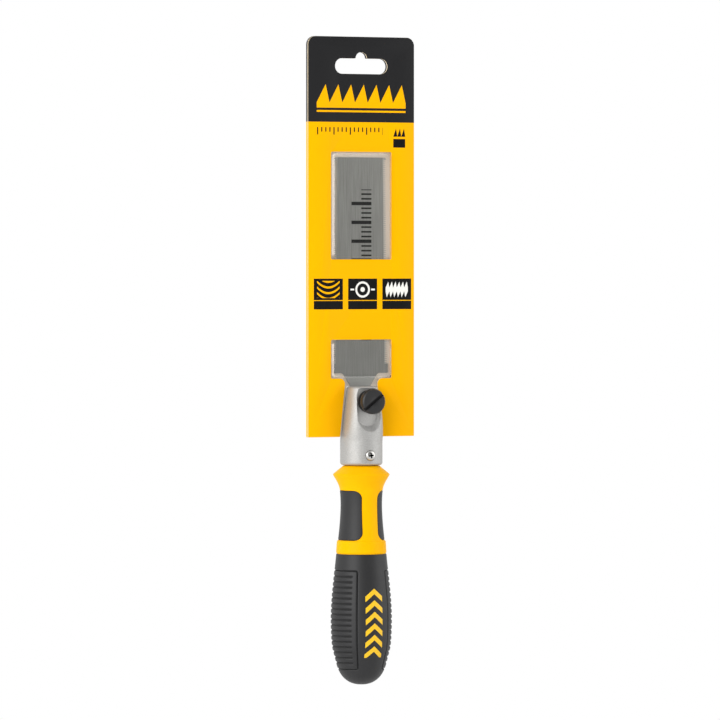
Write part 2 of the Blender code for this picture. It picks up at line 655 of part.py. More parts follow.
def core_upper_profile():
    """(height, radius) from the flange down to the sleeve."""
    flare = FLANGE_RADIUS - WAIST_RADIUS
    swell = BAND_TOP_RADIUS - BAND_STEP - WAIST_RADIUS
    waist = smooth_curve([
        (FLANGE_Z - EDGE_BREAK, FLANGE_RADIUS - EDGE_BREAK / 2),
        (FLANGE_Z - FLANGE_ABOVE_PAD * 0.6, WAIST_RADIUS + flare * 0.32),
        (PAD_TOP_Z - EDGE_BREAK, WAIST_RADIUS + flare * 0.09),
        (WAIST_Z, WAIST_RADIUS),
        ((WAIST_Z + BAND_TOP_Z) / 2, WAIST_RADIUS + swell * 0.33),
        (BAND_TOP_Z + PAD_ABOVE_BAND, WAIST_RADIUS + swell)], 2)
    band = [(BAND_TOP_Z + EDGE_BREAK / 2, BAND_TOP_RADIUS - EDGE_BREAK / 2),
            (BAND_TOP_Z - EDGE_BREAK, BAND_TOP_RADIUS),
            (SLEEVE_TOP_Z + EDGE_BREAK, SLEEVE_TOP_RADIUS),
            (SLEEVE_TOP_Z, SLEEVE_TOP_RADIUS - EDGE_BREAK / 2)]
    return waist + band


def handle_profile():
    """(radius, height) of the core, from the spigot down to the butt."""
    top = [(0.0, SPIGOT_TOP_Z), (SPIGOT_RADIUS - EDGE_BREAK, SPIGOT_TOP_Z),
           (SPIGOT_RADIUS, SPIGOT_TOP_Z - EDGE_BREAK), (SPIGOT_RADIUS, CORE_TOP_Z),
           (CORE_TOP_RADIUS - EDGE_BREAK, CORE_TOP_Z), (CORE_TOP_RADIUS, CORE_TOP_Z - EDGE_BREAK),
           (FLANGE_RADIUS - EDGE_BREAK / 2, FLANGE_Z + EDGE_BREAK), (FLANGE_RADIUS, FLANGE_Z)]
    upper = [(radius, height) for height, radius in core_upper_profile()]
    step = [(SLEEVE_TOP_RADIUS - SLEEVE_WALL - CLEARANCE, SLEEVE_TOP_Z)]
    return top + upper + step + under_sleeve(SLEEVE_WALL + CLEARANCE)


def side_prism(name, side, inner_x, top_z, bottom_z, corner, group, grow=0.0):
    """A rounded upright block beside the handle, which stands for one side of it."""
    left = inner_x - grow
    outline = rounded([(side * left, top_z + grow, corner + grow), (side * FAR, top_z + grow, 0),
                       (side * FAR, bottom_z - grow, 0), (side * left, bottom_z - grow, corner + grow)], 5)
    return plate(name, [outline], -FAR, FAR, group)


def pad_shell(name, outer_gap, depth, group):
    """A turned wall that follows the core between flange and band."""
    upper = [(height, radius) for height, radius in core_upper_profile()
             if BAND_TOP_Z - BAND_HEIGHT / 2 < height < FLANGE_Z - FLANGE_ABOVE_PAD / 4]
    outer = [(radius + outer_gap, height) for height, radius in upper]
    inner = [(radius - depth, height) for height, radius in reversed(upper)]
    return turned(name, outer + inner, group)


def make_core(parts, cutters, finish):
    core = turned("handle_core", handle_profile(), parts)
    core.data.materials.append(finish)
    for side, word in ((-1, "left"), (1, "right")):
        recess = pad_shell("pad_recess_" + word + "_cutter", FLANGE_RADIUS, PAD_DEPTH + CLEARANCE, cutters)
        prism = side_prism("pad_recess_" + word + "_edge", side, PAD_STRIPE_HALF_WIDTH, PAD_TOP_Z,
                           PAD_BOTTOM_Z, PAD_CORNER_RADIUS, cutters, CLEARANCE)
        combine(recess, as_cutter(prism), "INTERSECT")
        combine(core, as_cutter(recess))
    pin_radius = PIN_SHANK_RADIUS + CLEARANCE
    pin_hole = turned("pin_core_cutter",
                      [(0.0, FAR), (pin_radius, FAR), (pin_radius, -PIN_LENGTH - CLEARANCE),
                       (0.0, -PIN_LENGTH - CLEARANCE)], cutters, SMALL_SIDES)
    facing_front(pin_hole, PIN_SEAT_Y - CLEARANCE, PIN_Z)
    combine(core, as_cutter(pin_hole))
    return core


def make_pads(parts, cutters, finish):
    for side, word in ((-1, "left"), (1, "right")):
        pad = pad_shell("grip_pad_" + word, 0.0, PAD_DEPTH, parts)
        prism = side_prism("pad_" + word + "_edge", side, PAD_STRIPE_HALF_WIDTH, PAD_TOP_Z,
                           PAD_BOTTOM_Z, PAD_CORNER_RADIUS, cutters)
        combine(pad, as_cutter(prism), "INTERSECT")
        pad.data.materials.append(finish)


def rib_grooves(cutters):
    """Rings with a V section, one for each groove between two ribs."""
    profile = sleeve_profile()
    count = int((RIB_TOP_Z - RIB_BOTTOM_Z) / RIB_PITCH + 0.5) + 1
    mesh = bpy.data.meshes.new("rib_groove_cutter")
    points = []
    edges = []
    for groove in range(count):
        z = RIB_TOP_Z - groove * RIB_PITCH
        radius = radius_at(profile, z)
        half = RIB_GROOVE_WIDTH / 2
        first = len(points)
        deep = radius - RIB_GROOVE_DEPTH
        proud = radius + RIB_GROOVE_DEPTH
        points += [(deep, 0.0, z + half * 0.4), (proud, 0.0, z + half * 1.6),
                   (proud, 0.0, z - half * 1.6), (deep, 0.0, z - half * 0.4)]
        edges += [(first, first + 1), (first + 1, first + 2), (first + 2, first + 3), (first + 3, first)]
    mesh.from_pydata(points, edges, [])
    made = add_object("rib_groove_cutter", mesh, cutters)
    screw = made.modifiers.new("Turn", "SCREW")
    screw.axis = "Z"
    screw.angle = 2 * math.pi
    screw.steps = TURNED_SIDES
    screw.render_steps = TURNED_SIDES
    screw.use_merge_vertices = True
    screw.merge_threshold = 0.00001
    return made


def panel_frame(side, word, cutters):
    """The border groove of one ribbed panel, as a frame that stays outside a turned core."""
    half = PANEL_GROOVE_WIDTH / 2
    frame = side_prism("panel_" + word + "_cutter", side, PANEL_EDGE_X - half, PANEL_TOP_Z + half,
                       PANEL_BOTTOM_Z - half, PANEL_CORNER_RADIUS + half, cutters)
    window = side_prism("panel_" + word + "_inner", side, PANEL_EDGE_X + half, PANEL_TOP_Z - half,
                        PANEL_BOTTOM_Z + half, PANEL_CORNER_RADIUS - half, cutters)
    combine(frame, as_cutter(window))
    inner = [(radius, height) for height, radius in inside(sleeve_profile(), PANEL_GROOVE_DEPTH)]
    top = [(0.0, SLEEVE_TOP_Z + PANEL_MARGIN), (inner[0][0], SLEEVE_TOP_Z + PANEL_MARGIN)]
    keep = turned("panel_" + word + "_core", top + inner[1:], cutters)
    combine(frame, as_cutter(keep))
    return frame


def make_sleeve(parts, cutters, finish):
    outer = sleeve_profile()
    wall_up = list(reversed(under_sleeve(SLEEVE_WALL)))
    wall_down = [(radius, height) for height, radius in outer[1:]]
    top_z = SLEEVE_TOP_Z - CLEARANCE
    rim = [(SLEEVE_TOP_RADIUS - SLEEVE_WALL, top_z), (SLEEVE_TOP_RADIUS - SLEEVE_TOP_ROUND, top_z),
           (SLEEVE_TOP_RADIUS, top_z - SLEEVE_TOP_ROUND)]
    sleeve = turned("grip_sleeve", wall_up + rim + wall_down, parts)
    sleeve.data.materials.append(finish)
    grooves = rib_grooves(cutters)
    outline = [(RIB_EDGE_X, RIB_TOP_Z + RIB_PITCH), (FAR, RIB_TOP_Z + RIB_PITCH),
               (FAR, RIB_BOTTOM_Z - RIB_PITCH), (RIB_EDGE_X, RIB_BOTTOM_Z - RIB_PITCH)]
    mirror = [(-x, z) for x, z in outline]
    sides = plate("rib_sides_cutter", [outline, mirror], -FAR, FAR, cutters)
    combine(grooves, as_cutter(sides), "INTERSECT")
    combine(sleeve, as_cutter(grooves))
    for side, word in ((-1, "left"), (1, "right")):
        combine(sleeve, as_cutter(panel_frame(side, word, cutters)))
    return sleeve


# Hang card and blister

def card_outline(notch):
    """Outer edge of a board; notch is the right side of its bay, from the bottom up."""
    right = [(CARD_HALF_WIDTH, CARD_TOP_Z, CARD_CORNER_RADIUS), (CARD_HALF_WIDTH, CARD_BOTTOM_Z, EDGE_BREAK)]
    return rounded(mirrored(right + notch))


def hang_slot_outline():
    bottom = HANG_SLOT_Z - HANG_SLOT_HEIGHT / 2
    top = HANG_SLOT_Z + HANG_SLOT_HEIGHT / 2
    end_radius = HANG_SLOT_HEIGHT / 2 * 0.99
    bump = HANG_SLOT_BUMP_HALF_WIDTH
    return rounded(mirrored([
        (bump, top + HANG_SLOT_BUMP_HEIGHT, bump * 0.9), (bump, top, EDGE_BREAK),
        (HANG_SLOT_HALF_WIDTH, top, end_radius), (HANG_SLOT_HALF_WIDTH, bottom, end_radius)]), 5)


def window_outline(bottom_z, top_z):
    corner = WINDOW_CORNER_RADIUS
    return rounded(mirrored([(WINDOW_HALF_WIDTH, top_z, corner), (WINDOW_HALF_WIDTH, bottom_z, corner)]), 2)


def make_card_front(parts, finish):
    bay = [(NOTCH_BOTTOM_HALF_WIDTH, CARD_BOTTOM_Z, EDGE_BREAK),
           (THROAT_HALF_WIDTH, LOWER_WINDOW_BOTTOM_Z, THROAT_CORNER_RADIUS),
           (WINDOW_HALF_WIDTH, LOWER_WINDOW_BOTTOM_Z, WINDOW_CORNER_RADIUS),
           (WINDOW_HALF_WIDTH, LOWER_WINDOW_TOP_Z, WINDOW_CORNER_RADIUS)]
    outlines = [card_outline(bay), hang_slot_outline(),
                window_outline(UPPER_WINDOW_BOTTOM_Z, UPPER_WINDOW_TOP_Z)]
    card = plate("card_front", outlines, CARD_FACE_Y, CARD_BACK_FACE_Y, parts)
    card.data.materials.append(finish)
    return card


def neck_half_width(z):
    share = (z - NECK_ROUND_TOP_Z) / (NECK_TOP_Z - NECK_ROUND_TOP_Z)
    return neck_section(min(max(share, 0.0), 1.0))[0]


def make_card_back(parts, cutters, finish):
    """The back board: a glued rim, a recess for the blister's flange and a channel for the blade."""
    notch = [(neck_half_width(CARD_BOTTOM_Z) + NOTCH_NECK_MARGIN, CARD_BOTTOM_Z, EDGE_BREAK),
             (neck_half_width(NECK_TOP_Z) + NOTCH_NECK_MARGIN, NECK_TOP_Z + NOTCH_NECK_MARGIN,
              NECK_EDGE_RADIUS)]
    card = plate("card_back", [card_outline(notch), hang_slot_outline()],
                 CARD_BACK_FACE_Y + CLEARANCE, PACK_BACK_Y, parts)
    card.data.materials.append(finish)
    recess_half = CARD_HALF_WIDTH - RIM_WIDTH
    recess = block("flange_recess_cutter", (-recess_half, -FAR, SHEET_BOTTOM_Z - CLEARANCE),
                   (recess_half, SHEET_BACK_Y + CLEARANCE, SHEET_TOP_Z + CLEARANCE),
                   cutters)
    channel_half = WINDOW_HALF_WIDTH + CHANNEL_MARGIN
    channel = block("blade_channel_cutter", (-channel_half, -FAR, CARD_BOTTOM_Z - FAR),
                    (channel_half, CHANNEL_Y, UPPER_WINDOW_TOP_Z + CHANNEL_MARGIN), cutters)
    combine(card, as_cutter(recess))
    combine(card, as_cutter(channel))
    return card


def dome(name, half_width, bottom_z, top_z, cutters, wall=0.0):
    """A box whose front is drawn in, from the blister's sheet out through a window."""
    back_y = SHEET_BACK_Y + (CLEARANCE if wall else -SHEET_THICKNESS / 2)
    front_y = DOME_FACE_Y + wall
    slope = DOME_INSET / (SHEET_FRONT_Y - DOME_FACE_Y)
    made = block(name, (-half_width + wall, front_y, bottom_z + wall),
                 (half_width - wall, back_y, top_z - wall), cutters,
                 front_inset=slope * (back_y - front_y))
    bevel(made, DOME_EDGE_RADIUS - wall * 0.5, 2)
    return made


def make_blister(parts, cutters, finish):
    """A formed clear sheet: a flat flange between the boards and a dome through each window."""
    flange_half = CARD_HALF_WIDTH - RIM_WIDTH - CLEARANCE
    blister = block("blister", (-flange_half, SHEET_FRONT_Y, SHEET_BOTTOM_Z),
                    (flange_half, SHEET_BACK_Y, SHEET_TOP_Z), parts)
    blister.data.materials.append(finish)
    half_width = WINDOW_HALF_WIDTH - CLEARANCE
    windows = (("upper", half_width, UPPER_WINDOW_BOTTOM_Z, UPPER_WINDOW_TOP_Z),
               ("lower", half_width, LOWER_WINDOW_BOTTOM_Z, LOWER_WINDOW_TOP_Z))
    for word, half, low, high in windows:
        outer = dome(word + "_dome", half, low + CLEARANCE, high - CLEARANCE, cutters)
        combine(blister, as_cutter(outer), "UNION")
    for word, half, low, high in windows:
        hollow = dome(word + "_hollow_cutter", half, low + CLEARANCE, high - CLEARANCE, cutters,
                      SHEET_THICKNESS)
        combine(blister, as_cutter(hollow))
    return blister


def build():
    clear_scene()
    parts = collection("flush_cut_saw")
    cutters = collection("cutters")
    steel = material("blade_steel", (0.19, 0.19, 0.18), 0.38, 1.0)
    silver = material("cast_silver", (0.62, 0.60, 0.56), 0.42, 0.9)
    black = material("black_screw", (0.03, 0.03, 0.03), 0.4, 0.3)
    bright = material("bright_steel", (0.6, 0.6, 0.58), 0.25, 1.0)
    yellow = material("yellow_core", (1.0, 0.60, 0.0), 0.35)
    charcoal = material("charcoal_rubber", (0.055, 0.055, 0.058), 0.6)
    printed = material("printed_board", (1.0, 0.54, 0.0), 0.45)
    board = material("plain_board", (0.62, 0.56, 0.50), 0.8)
    clear = material("clear_sheet", (0.9, 0.9, 0.88), 0.1)
    make_blade(parts, steel)
    make_neck(parts, cutters, silver)
    make_clamp_screw(parts, cutters, black)
    make_washer(parts, black)
    make_insert(parts, bright)
    make_neck_screw(parts, cutters, bright)
    make_core(parts, cutters, yellow)
    make_pads(parts, cutters, charcoal)
    make_sleeve(parts, cutters, charcoal)
    make_card_front(parts, printed)
    make_card_back(parts, cutters, board)
    make_blister(parts, cutters, clear)


build()
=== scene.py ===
import math

import bmesh
import bpy
from mathutils import Matrix, Vector


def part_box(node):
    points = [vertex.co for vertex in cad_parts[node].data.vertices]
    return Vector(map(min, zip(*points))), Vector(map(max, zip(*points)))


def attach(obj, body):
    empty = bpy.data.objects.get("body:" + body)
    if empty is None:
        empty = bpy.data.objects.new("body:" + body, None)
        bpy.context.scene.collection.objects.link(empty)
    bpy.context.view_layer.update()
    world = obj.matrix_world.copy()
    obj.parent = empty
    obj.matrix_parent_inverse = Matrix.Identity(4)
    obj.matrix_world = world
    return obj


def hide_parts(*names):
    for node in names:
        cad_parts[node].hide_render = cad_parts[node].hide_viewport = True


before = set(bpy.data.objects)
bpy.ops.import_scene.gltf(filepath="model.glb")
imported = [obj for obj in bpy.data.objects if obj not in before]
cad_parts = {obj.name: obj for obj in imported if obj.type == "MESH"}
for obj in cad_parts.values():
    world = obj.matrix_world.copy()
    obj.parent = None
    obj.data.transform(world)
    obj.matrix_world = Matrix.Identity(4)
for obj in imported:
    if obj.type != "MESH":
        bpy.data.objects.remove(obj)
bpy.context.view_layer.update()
# The object's sizes are in millimetres, and a piece becomes metres when it is finished
MM = 0.001


# Camera
# The picture was taken level with the saw and from far off. The saw is turned 26 degrees
# to it, so the camera stands to the left of the front.
AIM = Vector((-0.62, 0.30, 137.0)) * MM
CAMERA_DISTANCE = 3.0
CAMERA_TURN = math.radians(-26)
CAMERA_RISE = math.radians(1.0)
PICTURE_WIDTH = 382.0 * MM
SENSOR_WIDTH = 36.0


def add_object(name, data):
    made = bpy.data.objects.new(name, data)
    bpy.context.scene.collection.objects.link(made)
    return made


def face(made, place, target):
    """Puts a camera or a lamp at a place, looking at a target."""
    made.location = place
    made.rotation_euler = (target - made.location).to_track_quat("-Z", "Y").to_euler()


def place_camera():
    data = bpy.data.cameras.new("camera")
    data.sensor_width = SENSOR_WIDTH
    data.lens = SENSOR_WIDTH * CAMERA_DISTANCE / PICTURE_WIDTH
    camera = add_object("camera", data)
    outwards = Vector((math.sin(CAMERA_TURN) * math.cos(CAMERA_RISE),
                       -math.cos(CAMERA_TURN) * math.cos(CAMERA_RISE), math.sin(CAMERA_RISE)))
    face(camera, AIM + outwards * CAMERA_DISTANCE, AIM)
    bpy.context.scene.camera = camera


place_camera()
bpy.context.scene.view_settings.view_transform = "Standard"


# Studio
# A white floor in a white room, with the saw hanging clear of it. The camera sees both as plain
# white. The room is dimmer in front than behind, also in what the metal mirrors, and a soft box
# stands on each side. That shapes the metal.
FLOOR_Z = -0.14
STAGE_REACH = 6.0
STAGE_COLOUR = (0.86, 0.86, 0.86)
ROOM_FRONT = 0.45
ROOM_BEHIND = 0.9
DIM_TURN = math.radians(4)
DIM_SIDE = (math.sin(DIM_TURN), -math.cos(DIM_TURN), 0.0)
DIM_LEVEL = 0.2
LAMP_AIM = Vector((0.0, 0.0, 0.12))
KEY_LAMP = {"place": (-1.5, -0.85, 0.6), "width": 1.3, "height": 1.5, "power": 24.0}
FILL_LAMP = {"place": (1.3, -0.85, 0.55), "width": 1.1, "height": 1.4, "power": 10.0}


class Wire:
    """One socket of a node graph. Python's operators on it add Math nodes."""

    def __init__(self, graph, socket):
        self.graph = graph
        self.socket = socket

    def math(self, operation, *others):
        return self.graph.node("ShaderNodeMath", {"operation": operation}, [self, *others])

    def __rsub__(self, other):
        return self.graph.node("ShaderNodeMath", {"operation": "SUBTRACT"}, [other, self])

    def ramp(self, low, high, at_low=0.0, at_high=1.0):
        """Goes smoothly from one value to the other as the wire goes from low to high."""
        return self.graph.node("ShaderNodeMapRange", {"interpolation_type": "SMOOTHSTEP"},
                               [self, low, high, at_low, at_high])

    def between(self, low, high):
        return (self > low) * (self < high)


for operator, operation in {
        "add": "ADD", "radd": "ADD", "sub": "SUBTRACT", "mul": "MULTIPLY", "rmul": "MULTIPLY",
        "truediv": "DIVIDE", "pow": "POWER", "mod": "FLOORED_MODULO", "abs": "ABSOLUTE",
        "gt": "GREATER_THAN", "lt": "LESS_THAN", "and": "MINIMUM", "or": "MAXIMUM"}.items():
    setattr(Wire, f"__{operator}__",
            lambda wire, *others, operation=operation: wire.math(operation, *others))


class Graph:
    """A node graph, of a material, the world or a Geometry Nodes tree."""

    def __init__(self, tree):
        self.tree = tree

    def node(self, kind, settings=None, sockets=(), output=0):
        made = self.tree.nodes.new(kind)
        for name, value in (settings or {}).items():
            setattr(made, name, value)
        pairs = sockets.items() if isinstance(sockets, dict) else enumerate(sockets)
        for key, value in pairs:
            self.feed(made.inputs[key], value)
        return Wire(self, made.outputs[output])

    def feed(self, socket, value):
        if isinstance(value, Wire):
            self.tree.links.new(value.socket, socket)
        else:
            socket.default_value = value

    def vector(self, x, y, z):
        return self.node("ShaderNodeCombineXYZ", sockets=[x, y, z])

    def split(self, vector):
        """The x, y and z of a vector."""
        apart = self.node("ShaderNodeSeparateXYZ", sockets=[vector]).socket.node
        return [Wire(self, socket) for socket in apart.outputs]

    def join(self, *parts):
        joined = self.tree.nodes.new("GeometryNodeJoinGeometry")
        for part in parts:
            self.feed(joined.inputs[0], part)
        return Wire(self, joined.outputs[0])

    def mix(self, factor, first, second):
        first, second = (colour if isinstance(colour, Wire) else (*colour, 1.0)
                         for colour in (first, second))
        return self.node("ShaderNodeMix", {"data_type": "RGBA"}, {0: factor, 6: first, 7: second}, 2)


class Material(Graph):
    """A material with its Principled shader."""

    def __init__(self, name):
        self.material = bpy.data.materials.new(name)
        self.material.use_nodes = True
        super().__init__(self.material.node_tree)
        self.shader = self.tree.nodes["Principled BSDF"]
        self.shaded = Wire(self, self.shader.outputs[0])

    def finish(self, **values):
        for name, value in values.items():
            if isinstance(value, tuple) and len(value) == 3:
                value = (*value, 1.0)
            self.feed(self.shader.inputs[name.replace("_", " ").title().replace("Ior", "IOR")], value)
        return self.material

    def mix_surface(self, factor, first, second):
        """Mixes two shaders and makes them the material's surface."""
        both = self.node("ShaderNodeMixShader", sockets=[factor, first, second])
        self.feed(self.tree.nodes["Material Output"].inputs["Surface"], both)
        return self.material

    def place(self):
        """Where a point is on the piece, in millimetres."""
        metres = self.node("ShaderNodeTexCoord", output="Object")
        return self.node("ShaderNodeVectorMath", {"operation": "SCALE"}, {0: metres, "Scale": 1 / MM})

    def axes(self):
        return self.split(self.place())

    def facing(self, axis):
        """How far the surface faces along x (0), y (1) or z (2), from -1 to 1."""
        return self.split(self.node("ShaderNodeTexCoord", output="Normal"))[axis]

    def noise(self, scale, detail=2.0, roughness=0.5, finer=(1.0, 1.0, 1.0)):
        """Noise over the piece, finer by a factor along each axis."""
        place = self.node("ShaderNodeVectorMath", {"operation": "MULTIPLY"}, [self.place(), finer])
        return self.node("ShaderNodeTexNoise", sockets={
            "Vector": place, "Scale": scale, "Detail": detail, "Roughness": roughness})

    def bump(self, height, distance, strength):
        """Height runs from 0 to 1 over a distance in millimetres."""
        return self.node("ShaderNodeBump", sockets={
            "Height": height, "Distance": distance * MM, "Strength": strength})


def ray_kinds(graph):
    """Masks of camera, glossy and transmission rays."""
    path = graph.tree.nodes.new("ShaderNodeLightPath")
    return [Wire(graph, path.outputs[name])
            for name in ("Is Camera Ray", "Is Glossy Ray", "Is Transmission Ray")]


def stage_material():
    paint = Material("stage_white")
    paint.finish(base_color=STAGE_COLOUR, roughness=0.9)
    glow = paint.node("ShaderNodeEmission", sockets={"Color": (1.0, 1.0, 1.0, 1.0), "Strength": 1.0})
    camera, glossy, transmitted = ray_kinds(paint)
    return paint.mix_surface(camera | glossy | transmitted, paint.shaded, glow)


def light_world():
    world = bpy.data.worlds.new("studio")
    bpy.context.scene.world = world
    world.use_nodes = True
    world.cycles.sampling_method = "NONE"
    graph = Graph(world.node_tree)
    camera, glossy, transmitted = ray_kinds(graph)
    direction = graph.node("ShaderNodeTexCoord", output="Generated")
    to_dim = graph.node("ShaderNodeVectorMath", {"operation": "DOT_PRODUCT"}, [direction, DIM_SIDE], "Value")
    mirrored = to_dim.ramp(0.1, 0.85, 1.0, DIM_LEVEL)
    level = (camera | transmitted) + glossy * mirrored
    back = world.node_tree.nodes["Background"]
    graph.feed(back.inputs["Color"], (1.0, 1.0, 1.0, 1.0))
    soft = to_dim.ramp(-0.7, 0.7, ROOM_BEHIND, ROOM_FRONT)
    graph.feed(back.inputs["Strength"], level | (soft * (1 - (camera | glossy | transmitted))))


def lay_floor():
    mesh = bpy.data.meshes.new("floor")
    corners = [(x * STAGE_REACH, y * STAGE_REACH, FLOOR_Z) for x, y in ((-1, -1), (1, -1), (1, 1), (-1, 1))]
    mesh.from_pydata(corners, [], [(0, 1, 2, 3)])
    mesh.materials.append(stage_material())
    floor = add_object("floor", mesh)


def soft_box(name, place, width, height, power):
    data = bpy.data.lights.new(name, "AREA")
    data.shape = "RECTANGLE"
    data.size = width
    data.size_y = height
    data.energy = power
    face(add_object(name, data), place, LAMP_AIM)


lay_floor()
light_world()
soft_box("key_light", **KEY_LAMP)
soft_box("fill_light", **FILL_LAMP)


# Handle core
# Injection moulded yellow plastic: a flange at the neck, a waist with pockets for two soft pads,
# and a band above the grip. It runs on, unseen, as the stem that the soft grip is moulded over.
CORE_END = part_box("handle_core")[1][2] / MM
CORE_TOP = 81.0
FLANGE_Z = 76.2
BAND_TOP = 41.0
SLEEVE_TOP = 34.65
FLANGE_RADIUS = 15.05
WAIST_RADIUS = 11.0
BAND_RADIUS = 13.0
SLEEVE_TOP_RADIUS = 13.35
SLEEVE_WALL = 2.2
FIT = 0.3
CORE_SIDES = 160
# How far a cutter reaches past the piece
FAR = 60.0
PAD_INNER_X = 4.5
PAD_TOP = 67.9
PAD_BOTTOM = 41.6
PAD_CORNER = 4.4
PAD_DEPTH = 1.4
PAD_SEAM = 0.12
SPIGOT_RADIUS = 6.7
PIN_Z = 86.6
PIN_HEAD_BACK = -10.95
PIN_BORE_RADIUS = 1.7
PIN_BORE_DEPTH = 9.0
# Radius and height along the grip's outline, from its top down
GRIP_OUTLINE = [
    (13.3, 34.65), (14.0, 27.6), (14.8, 21.2), (15.95, 8.5), (16.25, -2.6), (15.7, -13.8),
    (14.3, -20.2), (12.5, -26.6), (10.0, -31.0), (6.6, -33.8), (3.2, -35.0), (0.0, -35.3)]
YELLOW = (1.0, 0.50, 0.0)


def curve_through(points, steps):
    """A Catmull-Rom curve through a list of points."""
    ends = [points[0], *points, points[-1]]
    made = []
    for i in range(len(points) - 1):
        p0, p1, p2, p3 = ends[i:i + 4]
        for step in range(steps):
            t = step / steps
            made.append(tuple(0.5 * (2 * b + (c - a) * t + (2 * a - 5 * b + 4 * c - d) * t ** 2
                                     + (3 * b - a - 3 * c + d) * t ** 3)
                              for a, b, c, d in zip(p0, p1, p2, p3)))
    return made + [tuple(points[-1])]


def evenly(points, step):
    """The same line with points at an even distance along it."""
    made = [Vector(points[0])]
    left = step
    for a, b in zip(points, points[1:]):
        a, b = Vector(a), Vector(b)
        length = (b - a).length
        while length >= left:
            a = a.lerp(b, left / length)
            made.append(a.copy())
            length = (b - a).length
            left = step
        left -= length
    if (made[-1] - Vector(points[-1])).length > step * 0.3:
        made.append(Vector(points[-1]))
    else:
        made[-1] = Vector(points[-1])
    return [tuple(point) for point in made]


def offset_profile(profile, depth):
    """A (radius, height) profile, listed downwards, moved inwards as far as the axis."""
    moved = []
    for i, (radius, height) in enumerate(profile[:-1]):
        along = (Vector(profile[i + 1]) - Vector(profile[max(i - 1, 0)])).normalized()
        if radius + along.y * depth > 0.05:
            moved.append((radius + along.y * depth, height - along.x * depth))
    return moved + [(0.0, profile[-1][1] + depth)]


def keep_mesh(name, work, smooth_angle=None):
    """Makes an object of a bmesh, with doubles merged and faces outwards."""
    bmesh.ops.remove_doubles(work, verts=work.verts, dist=0.001)
    bmesh.ops.recalc_face_normals(work, faces=work.faces)
    mesh = bpy.data.meshes.new(name)
    work.to_mesh(mesh)
    work.free()
    made = add_object(name, mesh)
    if smooth_angle:
        smooth(made, smooth_angle)
    return made


def smooth(made, angle):
    made.data.shade_smooth()
    made.data.set_sharp_from_angle(angle=math.radians(angle))
    return made


def skin(work, rows, closed=True):
    """Faces from each row of vertices to the next. A row on the axis repeats its one vertex."""
    for upper, lower in zip(rows, rows[1:]):
        for i in range(len(upper) if closed else len(upper) - 1):
            after = (i + 1) % len(upper)
            corners = dict.fromkeys((upper[i], upper[after], lower[after], lower[i]))
            if len(corners) > 2:
                work.faces.new(list(corners))


def turn(name, profile, sides, smooth_angle=32):
    """Turns a (radius, height) profile, closed or ending on the axis, round Z."""
    work = bmesh.new()
    rows = []
    for radius, height in profile:
        if radius < 0.0005:
            rows.append([work.verts.new((0.0, 0.0, height))] * sides)
        else:
            rows.append([work.verts.new((radius * math.cos(2 * math.pi * i / sides),
                                         radius * math.sin(2 * math.pi * i / sides), height))
                         for i in range(sides)])
    open_ring = profile[0][0] > 0 and profile[-1][0] > 0
    skin(work, rows + rows[:1] if open_ring else rows)
    return keep_mesh(name, work, smooth_angle)


def face_front(made, y, z):
    """Lays a piece that was turned round Z along Y, with its top to the front."""
    made.data.transform(Matrix.Translation((0.0, y, z)) @ Matrix.Rotation(math.pi / 2, 4, "X"))
    return made


def settle(made):
    """Keeps what the modifiers make as a plain mesh, and removes them."""
    bpy.context.view_layer.update()
    shown = made.evaluated_get(bpy.context.evaluated_depsgraph_get())
    mesh = bpy.data.meshes.new_from_object(shown)
    made.modifiers.clear()
    made.data = mesh
    return made


def cut(made, *cutters, operation="DIFFERENCE"):
    """Booleans a piece with each cutter, and removes the cutters."""
    for cutter in cutters:
        modifier = made.modifiers.new("cut", "BOOLEAN")
        modifier.operation = operation
        modifier.solver = "EXACT"
        modifier.object = cutter
        settle(made)
        bpy.data.objects.remove(cutter, do_unlink=True)
    return made


def plate(name, outlines, y_front, y_back, edge=0.0):
    """Outlines of (x, z), inner ones as holes, made a plate with edges rounded by a radius."""
    curve = bpy.data.curves.new(name, "CURVE")
    curve.dimensions = "2D"
    curve.fill_mode = "BOTH"
    curve.extrude = (y_back - y_front) / 2 - edge
    curve.bevel_depth = edge
    curve.bevel_resolution = 1
    curve.offset = -edge
    for outline in outlines:
        spline = curve.splines.new("POLY")
        spline.points.add(len(outline) - 1)
        for point, (x, z) in zip(spline.points, outline):
            point.co = (x, z, 0.0, 1.0)
        spline.use_cyclic_u = True
    drawn = add_object(name, curve)
    bpy.context.view_layer.update()
    mesh = bpy.data.meshes.new_from_object(drawn.evaluated_get(bpy.context.evaluated_depsgraph_get()))
    bpy.data.objects.remove(drawn, do_unlink=True)
    mesh.transform(Matrix.Translation((0.0, (y_front + y_back) / 2, 0.0))
                   @ Matrix.Rotation(math.pi / 2, 4, "X"))
    work = bmesh.new()
    work.from_mesh(mesh)
    bpy.data.meshes.remove(mesh)
    return keep_mesh(name, work, 30)


def rounded(corners, steps=8):
    """An outline from (x, z, radius) corners, each rounded by an arc."""
    points = []
    for i, (x, z, radius) in enumerate(corners):
        if not radius:
            points.append((x, z))
            continue
        corner = Vector((x, z))
        to_before = (Vector(corners[i - 1][:2]) - corner).normalized()
        to_after = (Vector(corners[(i + 1) % len(corners)][:2]) - corner).normalized()
        half = to_before.angle(to_after) / 2
        centre = corner + (to_before + to_after).normalized() * radius / math.sin(half)
        start = corner + to_before * radius / math.tan(half) - centre
        end = corner + to_after * radius / math.tan(half) - centre
        first = math.atan2(start.y, start.x)
        sweep = (math.atan2(end.y, end.x) - first + math.pi) % (2 * math.pi) - math.pi
        for step in range(steps + 1):
            angle = first + sweep * step / steps
            points.append((centre.x + radius * math.cos(angle), centre.y + radius * math.sin(angle)))
    return points


